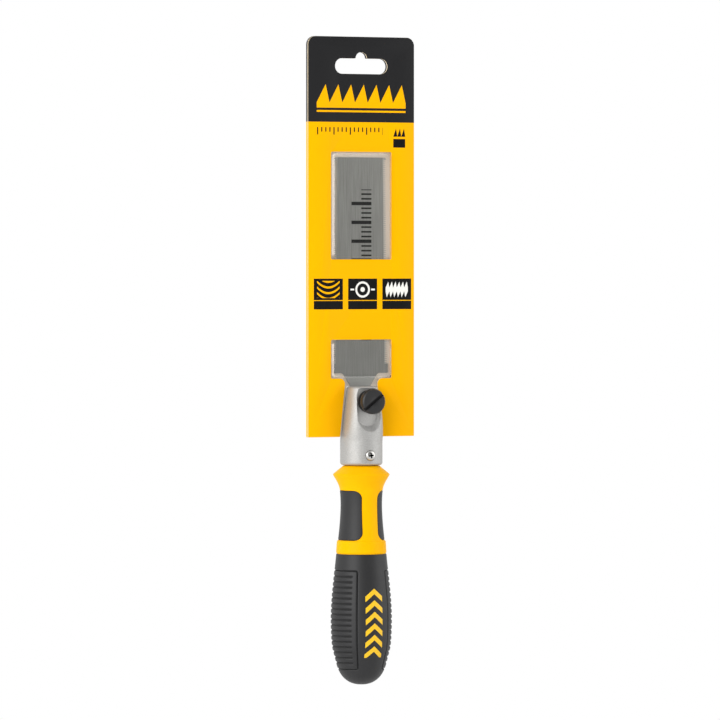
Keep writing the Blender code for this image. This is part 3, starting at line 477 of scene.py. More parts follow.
def pocket_side(side):
    """A block with two rounded corners that bounds the pocket on one side of the handle."""
    near = side * (PAD_INNER_X - PAD_SEAM)
    far = side * FAR
    top = PAD_TOP + PAD_SEAM
    bottom = PAD_BOTTOM - PAD_SEAM
    corner = PAD_CORNER + PAD_SEAM
    return plate("pocket_side", [rounded([(near, top, corner), (far, top, 0), (far, bottom, 0),
                                          (near, bottom, corner)], 12)], -FAR, FAR)


def stand_in(made, body, slot, material, *nodes):
    """Gives a finished piece its true size, material and body, and lets it stand for its CAD nodes."""
    made.data.transform(Matrix.Scale(MM, 4))
    if not made.data.materials:
        made.data.materials.append(material)
    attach(made, body)
    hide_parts(*nodes)
    return made


def waist_profile():
    """(radius, height) from the flange down to the band's foot."""
    flare = FLANGE_RADIUS - WAIST_RADIUS
    swell = BAND_RADIUS - 0.65 - WAIST_RADIUS
    waist = curve_through([
        (FLANGE_RADIUS, FLANGE_Z), (FLANGE_RADIUS - 0.25, FLANGE_Z - 0.5),
        (WAIST_RADIUS + flare * 0.32, FLANGE_Z - 5.0),
        (WAIST_RADIUS + flare * 0.09, PAD_TOP - 0.4), (WAIST_RADIUS, 60.0),
        (WAIST_RADIUS + swell * 0.33, 50.5), (WAIST_RADIUS + swell, BAND_TOP + 0.6)], 6)
    band = curve_through([
        (BAND_RADIUS - 0.35, BAND_TOP + 0.15), (BAND_RADIUS, BAND_TOP - 0.4),
        (13.2, 37.6), (SLEEVE_TOP_RADIUS, SLEEVE_TOP + 0.5),
        (SLEEVE_TOP_RADIUS - 0.25, SLEEVE_TOP)], 3)
    return waist + band


def yellow_plastic():
    plastic = Material("yellow_core")
    mottle = plastic.noise(0.25, 3.0)
    orange_peel = plastic.noise(2.4, 3.0)
    colour = plastic.mix(mottle, YELLOW, (0.97, 0.475, 0.0))
    return plastic.finish(base_color=colour, roughness=0.34 + orange_peel * 0.16, specular_ior_level=0.05,
                          normal=plastic.bump(orange_peel, 0.02, 0.35))


stem = offset_profile(curve_through(GRIP_OUTLINE, 3), SLEEVE_WALL + FIT)
core = turn("core_body", [
    (0.0, CORE_END), (SPIGOT_RADIUS - 0.4, CORE_END), (SPIGOT_RADIUS, CORE_END - 0.4),
    (SPIGOT_RADIUS, CORE_TOP), (9.4, CORE_TOP), (9.9, CORE_TOP - 0.2), (10.3, CORE_TOP - 0.6),
    (14.3, FLANGE_Z + 0.95), (14.8, FLANGE_Z + 0.5), *waist_profile(),
    *(point for point in stem if point[1] < SLEEVE_TOP - SLEEVE_WALL)], CORE_SIDES)
for side in (-1, 1):
    wall = [(radius, height) for radius, height in waist_profile() if height > PAD_BOTTOM - 3]
    floor = [(radius - PAD_DEPTH - PAD_SEAM, height) for radius, height in reversed(wall)]
    pocket = turn("pocket", [(radius + 6, height) for radius, height in wall] + floor, CORE_SIDES)
    cut(pocket, pocket_side(side), operation="INTERSECT")
    cut(core, pocket)
pin_hole = turn("pin_hole", [(0.0, 0.0), (PIN_BORE_RADIUS, 0.0), (PIN_BORE_RADIUS, -PIN_BORE_DEPTH),
                             (0.0, -PIN_BORE_DEPTH)], 32)
cut(core, face_front(pin_hole, PIN_HEAD_BACK, PIN_Z))
stand_in(smooth(core, 28), "handle", "yellow_core", yellow_plastic(), "handle_core")


# Grip pads
# Two charcoal soft pads moulded into the core's pockets, left and right. Their faces follow the
# waist and their edges roll down into a thin seam.
PAD_ROLL = 0.55
PAD_ROWS = 90
PAD_COLUMNS = 70
CHARCOAL = (0.0145, 0.0145, 0.0152)


def radius_on(profile, height):
    for (r_high, z_high), (r_low, z_low) in zip(profile, profile[1:]):
        if z_low <= height <= z_high:
            return r_high + (r_low - r_high) * (z_high - height) / max(z_high - z_low, 1e-9)
    return profile[-1][0]


def denser_at_ends(count):
    """Shares from -1 to 1 that crowd towards both ends."""
    return [math.sin(math.pi / 2 * (2 * i / count - 1)) for i in range(count + 1)]


def make_pad(name, side):
    profile = waist_profile()
    middle = (PAD_TOP + PAD_BOTTOM) / 2
    half = (PAD_TOP - PAD_BOTTOM) / 2
    work = bmesh.new()
    outer, inner = [], []
    for up in denser_at_ends(PAD_ROWS):
        z = middle + half * up
        into_corner = max(PAD_CORNER - (half - abs(z - middle)), 0.0)
        edge_x = PAD_INNER_X + PAD_CORNER - math.sqrt(max(PAD_CORNER ** 2 - into_corner ** 2, 0.0))
        radius = radius_on(profile, z)
        widest = math.acos(edge_x / radius)
        outer.append([])
        inner.append([])
        for across in denser_at_ends(PAD_COLUMNS):
            angle = across * widest
            to_edge = min((1 - abs(across)) * widest * radius, half - abs(z - middle))
            short = PAD_ROLL - min(max(to_edge, 0.0), PAD_ROLL)
            drop = PAD_ROLL - math.sqrt(PAD_ROLL ** 2 - short ** 2)
            for rows, distance in ((outer, radius - drop), (inner, radius - PAD_DEPTH)):
                rows[-1].append(work.verts.new((side * distance * math.cos(angle),
                                                distance * math.sin(angle), z)))
    for rows in (outer, inner):
        skin(work, rows, closed=False)
    skin(work, [rows[0][:-1] + [row[-1] for row in rows[:-1]] + rows[-1][:0:-1]
                + [row[0] for row in rows[:0:-1]] for rows in (outer, inner)])
    return keep_mesh(name, work, 60)


def soft_charcoal(name, printed=None, sunk=None):
    """Soft rubber with the fine grain of a spark-eroded mould. printed(x, y, z) is a mask of yellow
    ink, and sunk is the attribute that says how far a groove sinks; painted shade darkens the colour in the
    grooves, more where they sink further."""
    rubber = Material(name)
    grain = rubber.noise(5.5, 3.0, 0.6)
    cloud = rubber.noise(0.12, 2.0)
    colour = rubber.mix(cloud, CHARCOAL, (0.019, 0.019, 0.02))
    roughness = 0.4 + grain * 0.2
    if sunk:
        # Painted shade: the colour goes darker where a groove sinks further.
        groove_shade = rubber.node("ShaderNodeAttribute", {"attribute_name": sunk}, output="Fac")
        colour = rubber.mix(groove_shade * 0.8, colour, (0.006, 0.006, 0.006))
        roughness = roughness + groove_shade * 0.25
    if printed:
        ink = printed(*rubber.axes())
        colour = rubber.mix(ink, colour, (0.92, 0.55, 0.01))
        roughness = roughness - ink * 0.12
    return rubber.finish(base_color=colour, roughness=roughness, specular_ior_level=0.42,
                         normal=rubber.bump(grain, 0.05, 0.6))


pad_rubber = soft_charcoal("pad_rubber")
for side, word in ((-1, "left"), (1, "right")):
    stand_in(make_pad("soft_pad_" + word, side), "handle", "charcoal_rubber", pad_rubber, "grip_pad_" + word)


# Grip sleeve
# Charcoal soft rubber moulded over the lower handle and butt. Each side has a bordered panel with
# raised ribs round it, and the plain front carries a printed yellow mark.
SLEEVE_SIDES = 288
SLEEVE_STEP = 0.27
RELIEF = {
    "Rib pitch": 2.87, "Rib top": 22.5, "Rib bottom": -23.42, "Rib angle": math.radians(45),
    "Rib groove width": 1.7, "Rib groove depth": 0.55,
    "Panel angle": math.radians(34), "Panel top": 25.6, "Panel bottom": -26.8,
    "Panel corner": 1.2, "Panel groove width": 1.0, "Panel groove depth": 0.6}


def grow(made, name, sizes, material, build):
    """Runs a Geometry Nodes tree once on an object and keeps the plain mesh. build(graph, size) adds
    the nodes that give its geometry, where size holds the tree's inputs by name."""
    tree = bpy.data.node_groups.new(name, "GeometryNodeTree")
    for way in ("INPUT", "OUTPUT"):
        tree.interface.new_socket("Geometry", in_out=way, socket_type="NodeSocketGeometry")
    named = {}
    for key, value in sizes.items():
        kind = "NodeSocketInt" if isinstance(value, int) else "NodeSocketFloat"
        named[key] = tree.interface.new_socket(key, in_out="INPUT", socket_type=kind)
    graph = Graph(tree)
    entry = tree.nodes.new("NodeGroupInput")
    shape = build(graph, {socket.name: Wire(graph, socket) for socket in entry.outputs})
    real = graph.node("GeometryNodeRealizeInstances", sockets=[shape])
    done = graph.node("GeometryNodeSetMaterial", sockets={"Geometry": real, "Material": material})
    graph.feed(tree.nodes.new("NodeGroupOutput").inputs[0], done)
    modifier = made.modifiers.new(name, "NODES")
    modifier.node_group = tree
    for key, value in sizes.items():
        modifier[named[key].identifier] = value
    return settle(made)


def grip_relief(graph, size):
    """Sinks the grooves between the ribs, and the border groove round them, into a turned grip."""
    x, y, z = graph.split(graph.node("GeometryNodeInputPosition"))
    angle = abs(x).math("ARCTAN2", abs(y))
    radius = (x ** 2.0 + y ** 2.0) ** 0.5
    pitch = size["Rib pitch"]
    from_groove = abs((z - size["Rib bottom"] + pitch * 0.5) % pitch - pitch * 0.5)
    half = size["Rib groove width"] * 0.5
    groove = from_groove.ramp(0.0, half, 1.0, 0.0)
    in_height = (z > size["Rib bottom"] - half) * (z < size["Rib top"] + half)
    at_side = ((angle - size["Rib angle"]) * radius).ramp(-0.4, 0.4)
    ribs = groove * in_height * at_side * size["Rib groove depth"]
    corner = size["Panel corner"]
    middle = (size["Panel top"] + size["Panel bottom"]) * 0.5
    tall = (size["Panel top"] - size["Panel bottom"]) * 0.5
    out_x = (size["Panel angle"] - angle) * radius + corner
    out_z = abs(z - middle) - tall + corner
    outside = ((out_x | 0.0) ** 2.0 + (out_z | 0.0) ** 2.0) ** 0.5
    from_border = abs(outside + ((out_x | out_z) & 0.0) - corner)
    border = from_border.ramp(0.0, size["Panel groove width"] * 0.5, 1.0, 0.0) * size["Panel groove depth"]
    depth = ribs | border
    normal = graph.node("GeometryNodeInputNormal")
    inwards = graph.node("ShaderNodeVectorMath", {"operation": "SCALE"}, {0: normal, "Scale": depth * -1.0})
    # The groove's depth is kept as an attribute, which the rubber uses for painted shade in the grooves.
    noted = graph.node("GeometryNodeStoreNamedAttribute", {"data_type": "FLOAT", "domain": "POINT"}, {
        "Geometry": size["Geometry"], "Name": "groove", "Value": depth / size["Rib groove depth"]})
    return graph.node("GeometryNodeSetPosition", sockets={"Geometry": noted, "Offset": inwards})


def chevrons(x, y, z):
    """A column of plain chevrons on the front of the grip, pointing at the blade."""
    bottom = -20.2
    gap = 3.2
    pitch = 6.1
    level = z + abs(x) * 0.85
    column = x.between(-4.9, 4.9) * level.between(bottom + gap, 17.0) * (z > bottom)
    return ((level - bottom) % pitch > gap) * column * (y < 0.0)


grip_line = evenly(curve_through(GRIP_OUTLINE, 12), SLEEVE_STEP)
wall_line = [point for point in offset_profile(curve_through(GRIP_OUTLINE, 3), SLEEVE_WALL)
             if point[1] < SLEEVE_TOP - SLEEVE_WALL]
sleeve_top = SLEEVE_TOP - FIT
rim = [(SLEEVE_TOP_RADIUS - SLEEVE_WALL, sleeve_top), (SLEEVE_TOP_RADIUS - 0.55, sleeve_top),
       (SLEEVE_TOP_RADIUS - 0.2, sleeve_top - 0.12)]
sleeve = turn("sleeve_body", list(reversed(wall_line)) + rim
              + [point for point in grip_line if point[1] < sleeve_top - 0.3], SLEEVE_SIDES, 50)
grip_rubber = soft_charcoal("grip_rubber", chevrons, "groove")
grow(sleeve, "grip_relief", RELIEF, grip_rubber, grip_relief)
stand_in(smooth(sleeve, 60), "handle", "charcoal_rubber", grip_rubber, "grip_sleeve")


# Neck casting
# Silver cast zinc alloy: round at the handle and drawn in towards the blade, with a recessed flat
# for the clamp screw. The blade slot, the bores and the screw seats are cut after casting.
NECK_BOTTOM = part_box("neck_casting")[0][2] / MM
NECK_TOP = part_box("neck_casting")[1][2] / MM
NECK_ROUND_TOP = 94.5
NECK_RADIUS = 11.25
NECK_TOP_HALF_WIDTH = 8.0
NECK_TOP_FRONT = 8.7
NECK_TOP_REAR = 6.9
NECK_EDGE = 1.4
NECK_SIDES = 128
FLAT_Y = -7.6
RECESS_FRONT = -12.4
FLAT_HALF_WIDTH = 6.8
FLAT_BOTTOM = 99.2
FLAT_TOP = 122.1
CLAMP_Z = 115.25
SHANK_RADIUS = 2.5
TANG_HALF_WIDTH = 6.1
TANG_BOTTOM = 102.2
BLADE_FRONT = 1.25
BLADE_BACK = 1.75
INSERT_FRONT = 2.65
INSERT_RADIUS = 3.6
SOCKET_TOP = 94.3
PIN_SEAT_Y = PIN_HEAD_BACK + FIT
PIN_SEAT_RADIUS = 2.85
CAST_VOXEL = 0.24


def neck_ring(z, inset=0.0):
    """Points round the neck at one height: superelliptic in front, elliptic behind."""
    share = min(max((z - NECK_ROUND_TOP) / (NECK_TOP - NECK_ROUND_TOP), 0.0), 1.0)
    eased = share * share * (3 - 2 * share)
    half_width = NECK_RADIUS + (NECK_TOP_HALF_WIDTH - NECK_RADIUS) * share ** 1.25 - inset
    front = NECK_RADIUS + (NECK_TOP_FRONT - NECK_RADIUS) * share ** 3 - inset
    rear = NECK_RADIUS + (NECK_TOP_REAR - NECK_RADIUS) * (0.6 * share + 0.4 * eased) - inset
    squareness = 2.0 + 0.8 * math.sin(math.pi * min(share, 0.8))
    ring = []
    for i in range(NECK_SIDES):
        angle = 2 * math.pi * i / NECK_SIDES
        across, along = math.cos(angle), math.sin(angle)
        power, reach = (2 / squareness, front) if along < 0 else (1.0, rear)
        ring.append((half_width * math.copysign(abs(across) ** power, across),
                     reach * math.copysign(abs(along) ** power, along), z))
    return ring


def make_cast_body():
    """Lofts the rings of the neck, with both of its ends rounded."""
    edge_steps = 6
    body_steps = 48
    rises = [(NECK_EDGE * (1 - math.cos(math.pi / 2 * step / edge_steps)),
              NECK_EDGE * (1 - math.sin(math.pi / 2 * step / edge_steps))) for step in range(edge_steps + 1)]
    straight = NECK_TOP - NECK_BOTTOM - 2 * NECK_EDGE
    levels = [(NECK_BOTTOM + rise, inset) for rise, inset in rises]
    levels += [(NECK_BOTTOM + NECK_EDGE + straight * step / body_steps, 0.0) for step in range(1, body_steps)]
    levels += [(NECK_TOP - rise, inset) for rise, inset in reversed(rises)]
    work = bmesh.new()
    rows = [[work.verts.new(point) for point in neck_ring(z, inset)] for z, inset in levels]
    skin(work, rows)
    work.faces.new(list(reversed(rows[0])))
    work.faces.new(rows[-1])
    return keep_mesh("neck_body", work)


def block(name, low, high):
    work = bmesh.new()
    bmesh.ops.create_cube(work, size=1.0)
    for vert in work.verts:
        vert.co = [high[i] if vert.co[i] > 0 else low[i] for i in range(3)]
    return keep_mesh(name, work)


def drafted_recess():
    """A cutter for the clamp screw's flat: an arch upside down, with walls that lean outwards."""
    arch = [(math.cos(math.pi + math.pi * i / 32), math.sin(math.pi + math.pi * i / 32)) for i in range(33)]
    foot = FLAT_BOTTOM + FLAT_HALF_WIDTH
    arch = [(FLAT_HALF_WIDTH * x, foot + FLAT_HALF_WIDTH * z) for x, z in arch]
    arch += rounded([(FLAT_HALF_WIDTH, foot, 0), (FLAT_HALF_WIDTH, FLAT_TOP, 1.0),
                     (-FLAT_HALF_WIDTH, FLAT_TOP, 1.0), (-FLAT_HALF_WIDTH, foot, 0)])[1:-1]
    work = bmesh.new()
    rings = []
    for y, wide, tall in ((FLAT_Y, 0.93, 0.87), (RECESS_FRONT, 1.05, 1.05)):
        rings.append([work.verts.new((x * wide, y, FLAT_TOP + (z - FLAT_TOP) * tall)) for x, z in arch])
    skin(work, rings)
    for ring in rings:
        work.faces.new(ring)
    return keep_mesh("flat_recess", work)


def cast_silver():
    metal = Material("cast_silver")
    grain = metal.noise(1.7, 4.0, 0.7)
    cloud = metal.noise(0.3, 2.0)
    colour = metal.mix(cloud, (0.50, 0.495, 0.48), (0.55, 0.545, 0.53))
    colour = metal.mix(grain.ramp(0.3, 0.7), (0.40, 0.395, 0.38), colour)
    return metal.finish(base_color=colour, metallic=0.7, roughness=0.52 + grain * 0.12,
                        specular_ior_level=0.3, normal=metal.bump(grain, 0.07, 0.6))


neck = cut(make_cast_body(), drafted_recess())
remesh = neck.modifiers.new("cast surface", "REMESH")
remesh.mode = "VOXEL"
remesh.voxel_size = CAST_VOXEL
soften = neck.modifiers.new("cast fillets", "SMOOTH")
soften.factor = 0.5
soften.iterations = 7
settle(neck)
socket = turn("socket", [(0.0, SOCKET_TOP), (SPIGOT_RADIUS + FIT, SOCKET_TOP),
                         (SPIGOT_RADIUS + FIT, NECK_BOTTOM - FAR), (0.0, NECK_BOTTOM - FAR)], 96)
blade_slot = block("blade_slot", (-TANG_HALF_WIDTH - FIT, BLADE_FRONT - FIT, TANG_BOTTOM - FIT),
                   (TANG_HALF_WIDTH + FIT, BLADE_BACK + FIT, NECK_TOP + FAR))
clamp_bore = face_front(turn("clamp_bore", [
    (0.0, FAR), (SHANK_RADIUS + FIT, FAR), (SHANK_RADIUS + FIT, 0.0), (INSERT_RADIUS + FIT, 0.0),
    (INSERT_RADIUS + FIT, -FAR), (0.0, -FAR)], 64), INSERT_FRONT - FIT, CLAMP_Z)
pin_seat = face_front(turn("pin_seat", [
    (0.0, FAR), (PIN_SEAT_RADIUS, FAR), (PIN_SEAT_RADIUS, 0.0), (PIN_BORE_RADIUS, 0.0),
    (PIN_BORE_RADIUS, PIN_SEAT_Y), (0.0, PIN_SEAT_Y)], 48), PIN_SEAT_Y, PIN_Z)
cut(neck, socket, blade_slot, clamp_bore, pin_seat)
stand_in(smooth(neck, 40), "handle", "cast_silver", cast_silver(), "neck_casting")


# Thread insert
# A short steel sleeve pressed into the rear wall of the neck, for the clamp screw to turn in.
# Fine straight knurls on its rim keep it from turning.
INSERT_LENGTH = 4.4
KNURLS = {"Knurls": 48, "Knurl width": 0.2, "Knurl length": 3.4, "Rim radius": INSERT_RADIUS - 0.1}


def turned_steel(name, colour, roughness, metallic=1.0, bump=0.012, shaded=None):
    """Metal with fine rings left by the lathe, across an axis that lies front to back. shaded(x, y, z)
    is a mask of a slot or recess, where shade is painted: the colour goes near black there, and the finish
    rougher."""
    metal = Material(name)
    rings = metal.noise(1.6, 3.0, finer=(0.4, 9.0, 0.4))
    dust = metal.noise(1.3, 3.0)
    tone = metal.mix(dust, colour, tuple(0.8 * part for part in colour))
    if shaded:
        # Painted shade: inside the slot or recess the colour goes near black.
        painted_shade = shaded(*metal.axes())
        tone = metal.mix(painted_shade, tone, (0.006, 0.006, 0.006))
        roughness = roughness + painted_shade * 0.3
    return metal.finish(base_color=tone, metallic=metallic, roughness=roughness + rings * 0.12,
                        normal=metal.bump(rings, bump, 0.5))


def insert_knurls(graph, size):
    """Stands small bars round a turned sleeve that lies along Z."""
    bar_size = graph.vector(size["Knurl width"], size["Knurl width"], size["Knurl length"])
    bar = graph.node("GeometryNodeMeshCube", sockets={"Size": bar_size})
    ring = graph.node("GeometryNodeMeshCircle", sockets={
        "Vertices": size["Knurls"], "Radius": size["Rim radius"]})
    middle = graph.node("GeometryNodeSetPosition", sockets={
        "Geometry": ring, "Offset": (0.0, 0.0, INSERT_LENGTH / 2)})
    along = graph.node("FunctionNodeAlignEulerToVector", {"axis": "X"}, {
        "Vector": graph.node("GeometryNodeInputPosition")})
    bars = graph.node("GeometryNodeInstanceOnPoints", sockets={
        "Points": middle, "Instance": bar, "Rotation": along})
    return graph.join(size["Geometry"], bars)


steel_bright = turned_steel("bright_steel", (0.62, 0.62, 0.60), 0.2)
rim = KNURLS["Rim radius"]
insert = turn("insert_body", [
    (SHANK_RADIUS + FIT, INSERT_LENGTH), (rim - 0.2, INSERT_LENGTH), (rim, INSERT_LENGTH - 0.2),
    (rim, 0.2), (rim - 0.2, 0.0), (SHANK_RADIUS + FIT, 0.0)], 64)
grow(insert, "insert_knurls", KNURLS, steel_bright, insert_knurls)
face_front(insert, INSERT_FRONT + INSERT_LENGTH, CLAMP_Z)
stand_in(smooth(insert, 30), "handle", "bright_steel", steel_bright, "thread_insert")


# Neck screw
# A small zinc-plated pan head screw with a cross recess. It goes through the front of the neck
# into the handle's spigot and pins the two together.
PIN_HEAD_RADIUS = 2.7
PIN_HEAD_LENGTH = 1.4
PIN_LENGTH = 8.0
CROSS_HALF_LENGTH = 1.95
CROSS_HALF_WIDTH = 0.5
CROSS_FLOOR = 0.35
PIN_THREAD = {"Turns": 9.0, "Thread radius": 1.3, "Thread length": 6.4, "Ridge": 0.24}


def screw_thread(graph, size):
    """Winds a ridge round a screw that lies along Z, from just under its head downwards."""
    path = graph.node("GeometryNodeCurveSpiral", sockets={
        "Resolution": 40, "Rotations": size["Turns"], "Start Radius": size["Thread radius"],
        "End Radius": size["Thread radius"], "Height": size["Thread length"]})
    ridge = graph.node("GeometryNodeCurvePrimitiveCircle", sockets={"Resolution": 4, "Radius": size["Ridge"]})
    wound = graph.node("GeometryNodeCurveToMesh", sockets={
        "Curve": path, "Profile Curve": ridge, "Fill Caps": True})
    below = graph.vector(0.0, 0.0, size["Thread length"] * -1.0 - size["Ridge"])
    lowered = graph.node("GeometryNodeTransform", sockets={"Geometry": wound, "Translation": below})
    return graph.join(size["Geometry"], lowered)


def make_pin():
    shank = PIN_THREAD["Thread radius"]
    head = curve_through([(0.0, PIN_HEAD_LENGTH), (1.3, PIN_HEAD_LENGTH - 0.1), (2.1, 1.02), (2.55, 0.62),
                          (PIN_HEAD_RADIUS, 0.25), (PIN_HEAD_RADIUS - 0.1, 0.0)], 4)
    pin = turn("pin_body", head + [(shank, 0.0), (shank, 1.0 - PIN_LENGTH), (0.0, -PIN_LENGTH)], 48)
    for turned_by in (8, 98):
        arm = block("cross", (-CROSS_HALF_LENGTH, -CROSS_HALF_WIDTH, CROSS_FLOOR),
                    (CROSS_HALF_LENGTH, CROSS_HALF_WIDTH, 3.0))
        for vert in arm.data.vertices:
            if vert.co.z < PIN_HEAD_LENGTH:
                vert.co.x *= 0.6
                vert.co.y *= 0.7
        arm.data.transform(Matrix.Rotation(math.radians(turned_by), 4, "Z"))
        cut(pin, arm)
    return pin


def cross_recess(x, y, z):
    """Below the rim of the cross in the screw's head, where shade is painted into the colour."""
    from_axis = (x ** 2.0 + (z - PIN_Z) ** 2.0) ** 0.5
    rim = PIN_HEAD_BACK - PIN_HEAD_LENGTH + 0.14
    return (y - from_axis ** 2.0 * 0.06).between(rim, rim + 1.1) * (from_axis < 2.1)


plated_steel = turned_steel("plated_steel", (0.66, 0.65, 0.62), 0.26, shaded=cross_recess)
pin = grow(make_pin(), "pin_thread", PIN_THREAD, plated_steel, screw_thread)
face_front(pin, PIN_HEAD_BACK, PIN_Z)
stand_in(smooth(pin, 30), "handle", "bright_steel", plated_steel, "neck_screw")


# Blade
# Thin spring steel with fine teeth ground on both long edges and a tang that the neck clamps.
# The face is brushed along its length and carries a plain black depth scale.
BLADE_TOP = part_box("blade")[1][2] / MM
HEEL_Z = 130.1
HEEL_HALF_WIDTH = 16.25
TIP_HALF_WIDTH = 15.1
SHOULDER_HALF_WIDTH = 10.3
CREASE_Z = 128.2
TOOTH_PITCH = 25.4 / 23
TEETH = {
    "Teeth": 98, "Pitch": TOOTH_PITCH, "First tooth": 135.0, "Heel half width": HEEL_HALF_WIDTH,
    "Taper per tooth": (HEEL_HALF_WIDTH - TIP_HALF_WIDTH) / 98,
    "Blade middle": (BLADE_FRONT + BLADE_BACK) / 2}
TOOTH_DEPTH = 1.9
TOOTH_LEAN = 0.35


def one_tooth():
    """A ground tooth beside the Z axis: its root lies in the blade and its tip on the axis."""
    root = 0.22
    tip = 0.09
    profile = [(-TOOTH_DEPTH - 0.3, 0.0, root), (-TOOTH_DEPTH, 0.12 * TOOTH_PITCH, root),
               (0.0, TOOTH_LEAN * TOOTH_PITCH, tip), (-TOOTH_DEPTH, 0.88 * TOOTH_PITCH, root),
               (-TOOTH_DEPTH - 0.3, TOOTH_PITCH, root)]
    work = bmesh.new()
    front = [work.verts.new((x, -half, z)) for x, z, half in profile]
    back = [work.verts.new((x, half, z)) for x, z, half in profile]
    for side in (front, back):
        work.faces.new((side[0], side[1], side[3], side[4]))
        work.faces.new((side[1], side[2], side[3]))
    skin(work, [front, back])
    return keep_mesh("tooth", work)


def blade_teeth(graph, size):
    """Sets the tooth along both edges of the blade's plate, which narrows to its tip."""
    edge = graph.node("GeometryNodeMeshLine", sockets={
        "Count": size["Teeth"],
        "Start Location": graph.vector(size["Heel half width"], 0.0, size["First tooth"]),
        "Offset": graph.vector(size["Taper per tooth"] * -1.0, 0.0, size["Pitch"])})
    row = graph.node("GeometryNodeInstanceOnPoints", sockets={"Points": edge, "Instance": size["Geometry"]})
    other_row = graph.node("GeometryNodeTransform", sockets={
        "Geometry": row, "Rotation": (0.0, 0.0, math.pi)})
    placed = graph.node("GeometryNodeTransform", sockets={
        "Geometry": graph.join(row, other_row), "Translation": graph.vector(0.0, size["Blade middle"], 0.0)})
    plain = graph.node("GeometryNodeObjectInfo", {"transform_space": "ORIGINAL"}, {"Object": blade_plate},
                       "Geometry")
    return graph.join(placed, plain)


def blade_outline():
    last_tooth = TEETH["First tooth"] + TEETH["Teeth"] * TOOTH_PITCH
    slot = SHANK_RADIUS + FIT
    right = rounded([
        (-1, BLADE_TOP, 0), (TIP_HALF_WIDTH, BLADE_TOP, 0.8), (TIP_HALF_WIDTH, last_tooth, 0),
        (TIP_HALF_WIDTH - TOOTH_DEPTH, last_tooth - 0.1, 0),
        (HEEL_HALF_WIDTH - TOOTH_DEPTH, TEETH["First tooth"] + 0.1, 0),
        (HEEL_HALF_WIDTH, TEETH["First tooth"], 0), (HEEL_HALF_WIDTH, HEEL_Z, 0.4),
        (SHOULDER_HALF_WIDTH, HEEL_Z, 2.5), (TANG_HALF_WIDTH, NECK_TOP + FIT, 0),
        (TANG_HALF_WIDTH, TANG_BOTTOM, 0.8), (slot, TANG_BOTTOM, 0.3),
        (slot, CLAMP_Z, 0)])[1:]
    right += [(slot * math.cos(math.pi / 2 * i / 10), CLAMP_Z + slot * math.sin(math.pi / 2 * i / 10))
              for i in range(1, 10)]
    return right + [(0.0, CLAMP_Z + slot)] + [(-x, z) for x, z in reversed(right)]


def brushed_steel():
    steel = Material("blade_steel")
    x, _, z = steel.axes()
    brush = steel.noise(1.0, 5.0, 0.7, (2.2, 2.2, 0.05))
    cloud = steel.noise(0.06, 2.0)
    tone = steel.mix(brush.ramp(0.25, 0.75), (0.285, 0.285, 0.27), (0.43, 0.43, 0.41))
    tone = steel.mix(cloud * 0.3, tone, (0.23, 0.23, 0.22))
    # Painted reflection: the blade goes lighter towards its tip and darker towards its heel, standing in for
    # the light that the blister's dome adds over the upper window.
    tone = steel.mix(z.ramp(135.0, 240.0, 0.26, 0.0), tone, (0.12, 0.12, 0.115))
    tone = steel.mix((z < CREASE_Z) * 0.7, tone, (0.46, 0.46, 0.44))
    # The tooth zone is lighter: ground steel is brighter, and the lighter colour also paints in the glint off
    # the ground facets.
    narrowing = (HEEL_HALF_WIDTH - TIP_HALF_WIDTH) / (TEETH["Teeth"] * TOOTH_PITCH)
    root = HEEL_HALF_WIDTH - TOOTH_DEPTH - (z - TEETH["First tooth"]) * narrowing
    ground = (abs(x) > root) * (z > TEETH["First tooth"])
    tone = steel.mix(ground * 0.4, tone, (0.80, 0.79, 0.76))
    # The crease is a bump and also a lighter line in the colour: a painted highlight where the bend catches
    # the light.
    crease = abs(z - CREASE_Z).ramp(0.0, 0.35, 1.0, 0.0)
    scale = depth_scale(x, z) * (steel.facing(1) < -0.5)
    colour = steel.mix(scale, steel.mix(crease * 0.5, tone, (0.5, 0.5, 0.48)), (0.008, 0.008, 0.008))
    return steel.finish(base_color=colour, metallic=1 - scale * 0.9, roughness=0.34 + brush * 0.12,
                        specular_ior_level=0.3, normal=steel.bump(brush - crease, 0.01, 0.4))


def depth_scale(x, z):
    """Plain bars along the blade: a short one every 2.5 mm and a broad one every 10 mm."""
    along = z - 130.0
    tick = (abs(along % 2.5 - 1.25) > 0.8) * x.between(0.6, 6.6)
    broad = (abs(along % 10.0 - 5.0) > 4.1) * x.between(-5.2, 6.6)
    return (tick | broad) * z.between(147.5, 227.5)


steel = brushed_steel()
blade_plate = plate("blade_plate", [blade_outline()], BLADE_FRONT, BLADE_BACK)
blade = one_tooth()
blade.name = "blade_body"
grow(blade, "blade_teeth", TEETH, steel, blade_teeth)
bpy.data.objects.remove(blade_plate, do_unlink=True)
stand_in(smooth(blade, 20), "blade", "blade_steel", steel, "blade")


# Clamp washer
# A black steel washer that stays on the clamp screw and presses on the flat of the neck.
WASHER_BACK = -7.9
WASHER_RADIUS = 6.0
WASHER_THICKNESS = 1.0
satin_black = turned_steel("black_screw", (0.014, 0.014, 0.0145), 0.4, 0.0, 0.02)
washer = turn("washer_body", [
    (SHANK_RADIUS + FIT, WASHER_THICKNESS), (WASHER_RADIUS - 0.25, WASHER_THICKNESS),
    (WASHER_RADIUS - 0.07, WASHER_THICKNESS - 0.07), (WASHER_RADIUS, WASHER_THICKNESS - 0.25),
    (WASHER_RADIUS, 0.25), (WASHER_RADIUS - 0.07, 0.07), (WASHER_RADIUS - 0.25, 0.0),
    (SHANK_RADIUS + FIT, 0.0)], 96)
face_front(washer, WASHER_BACK, CLAMP_Z)
stand_in(washer, "clamp_washer", "black_screw", satin_black, "clamp_washer")


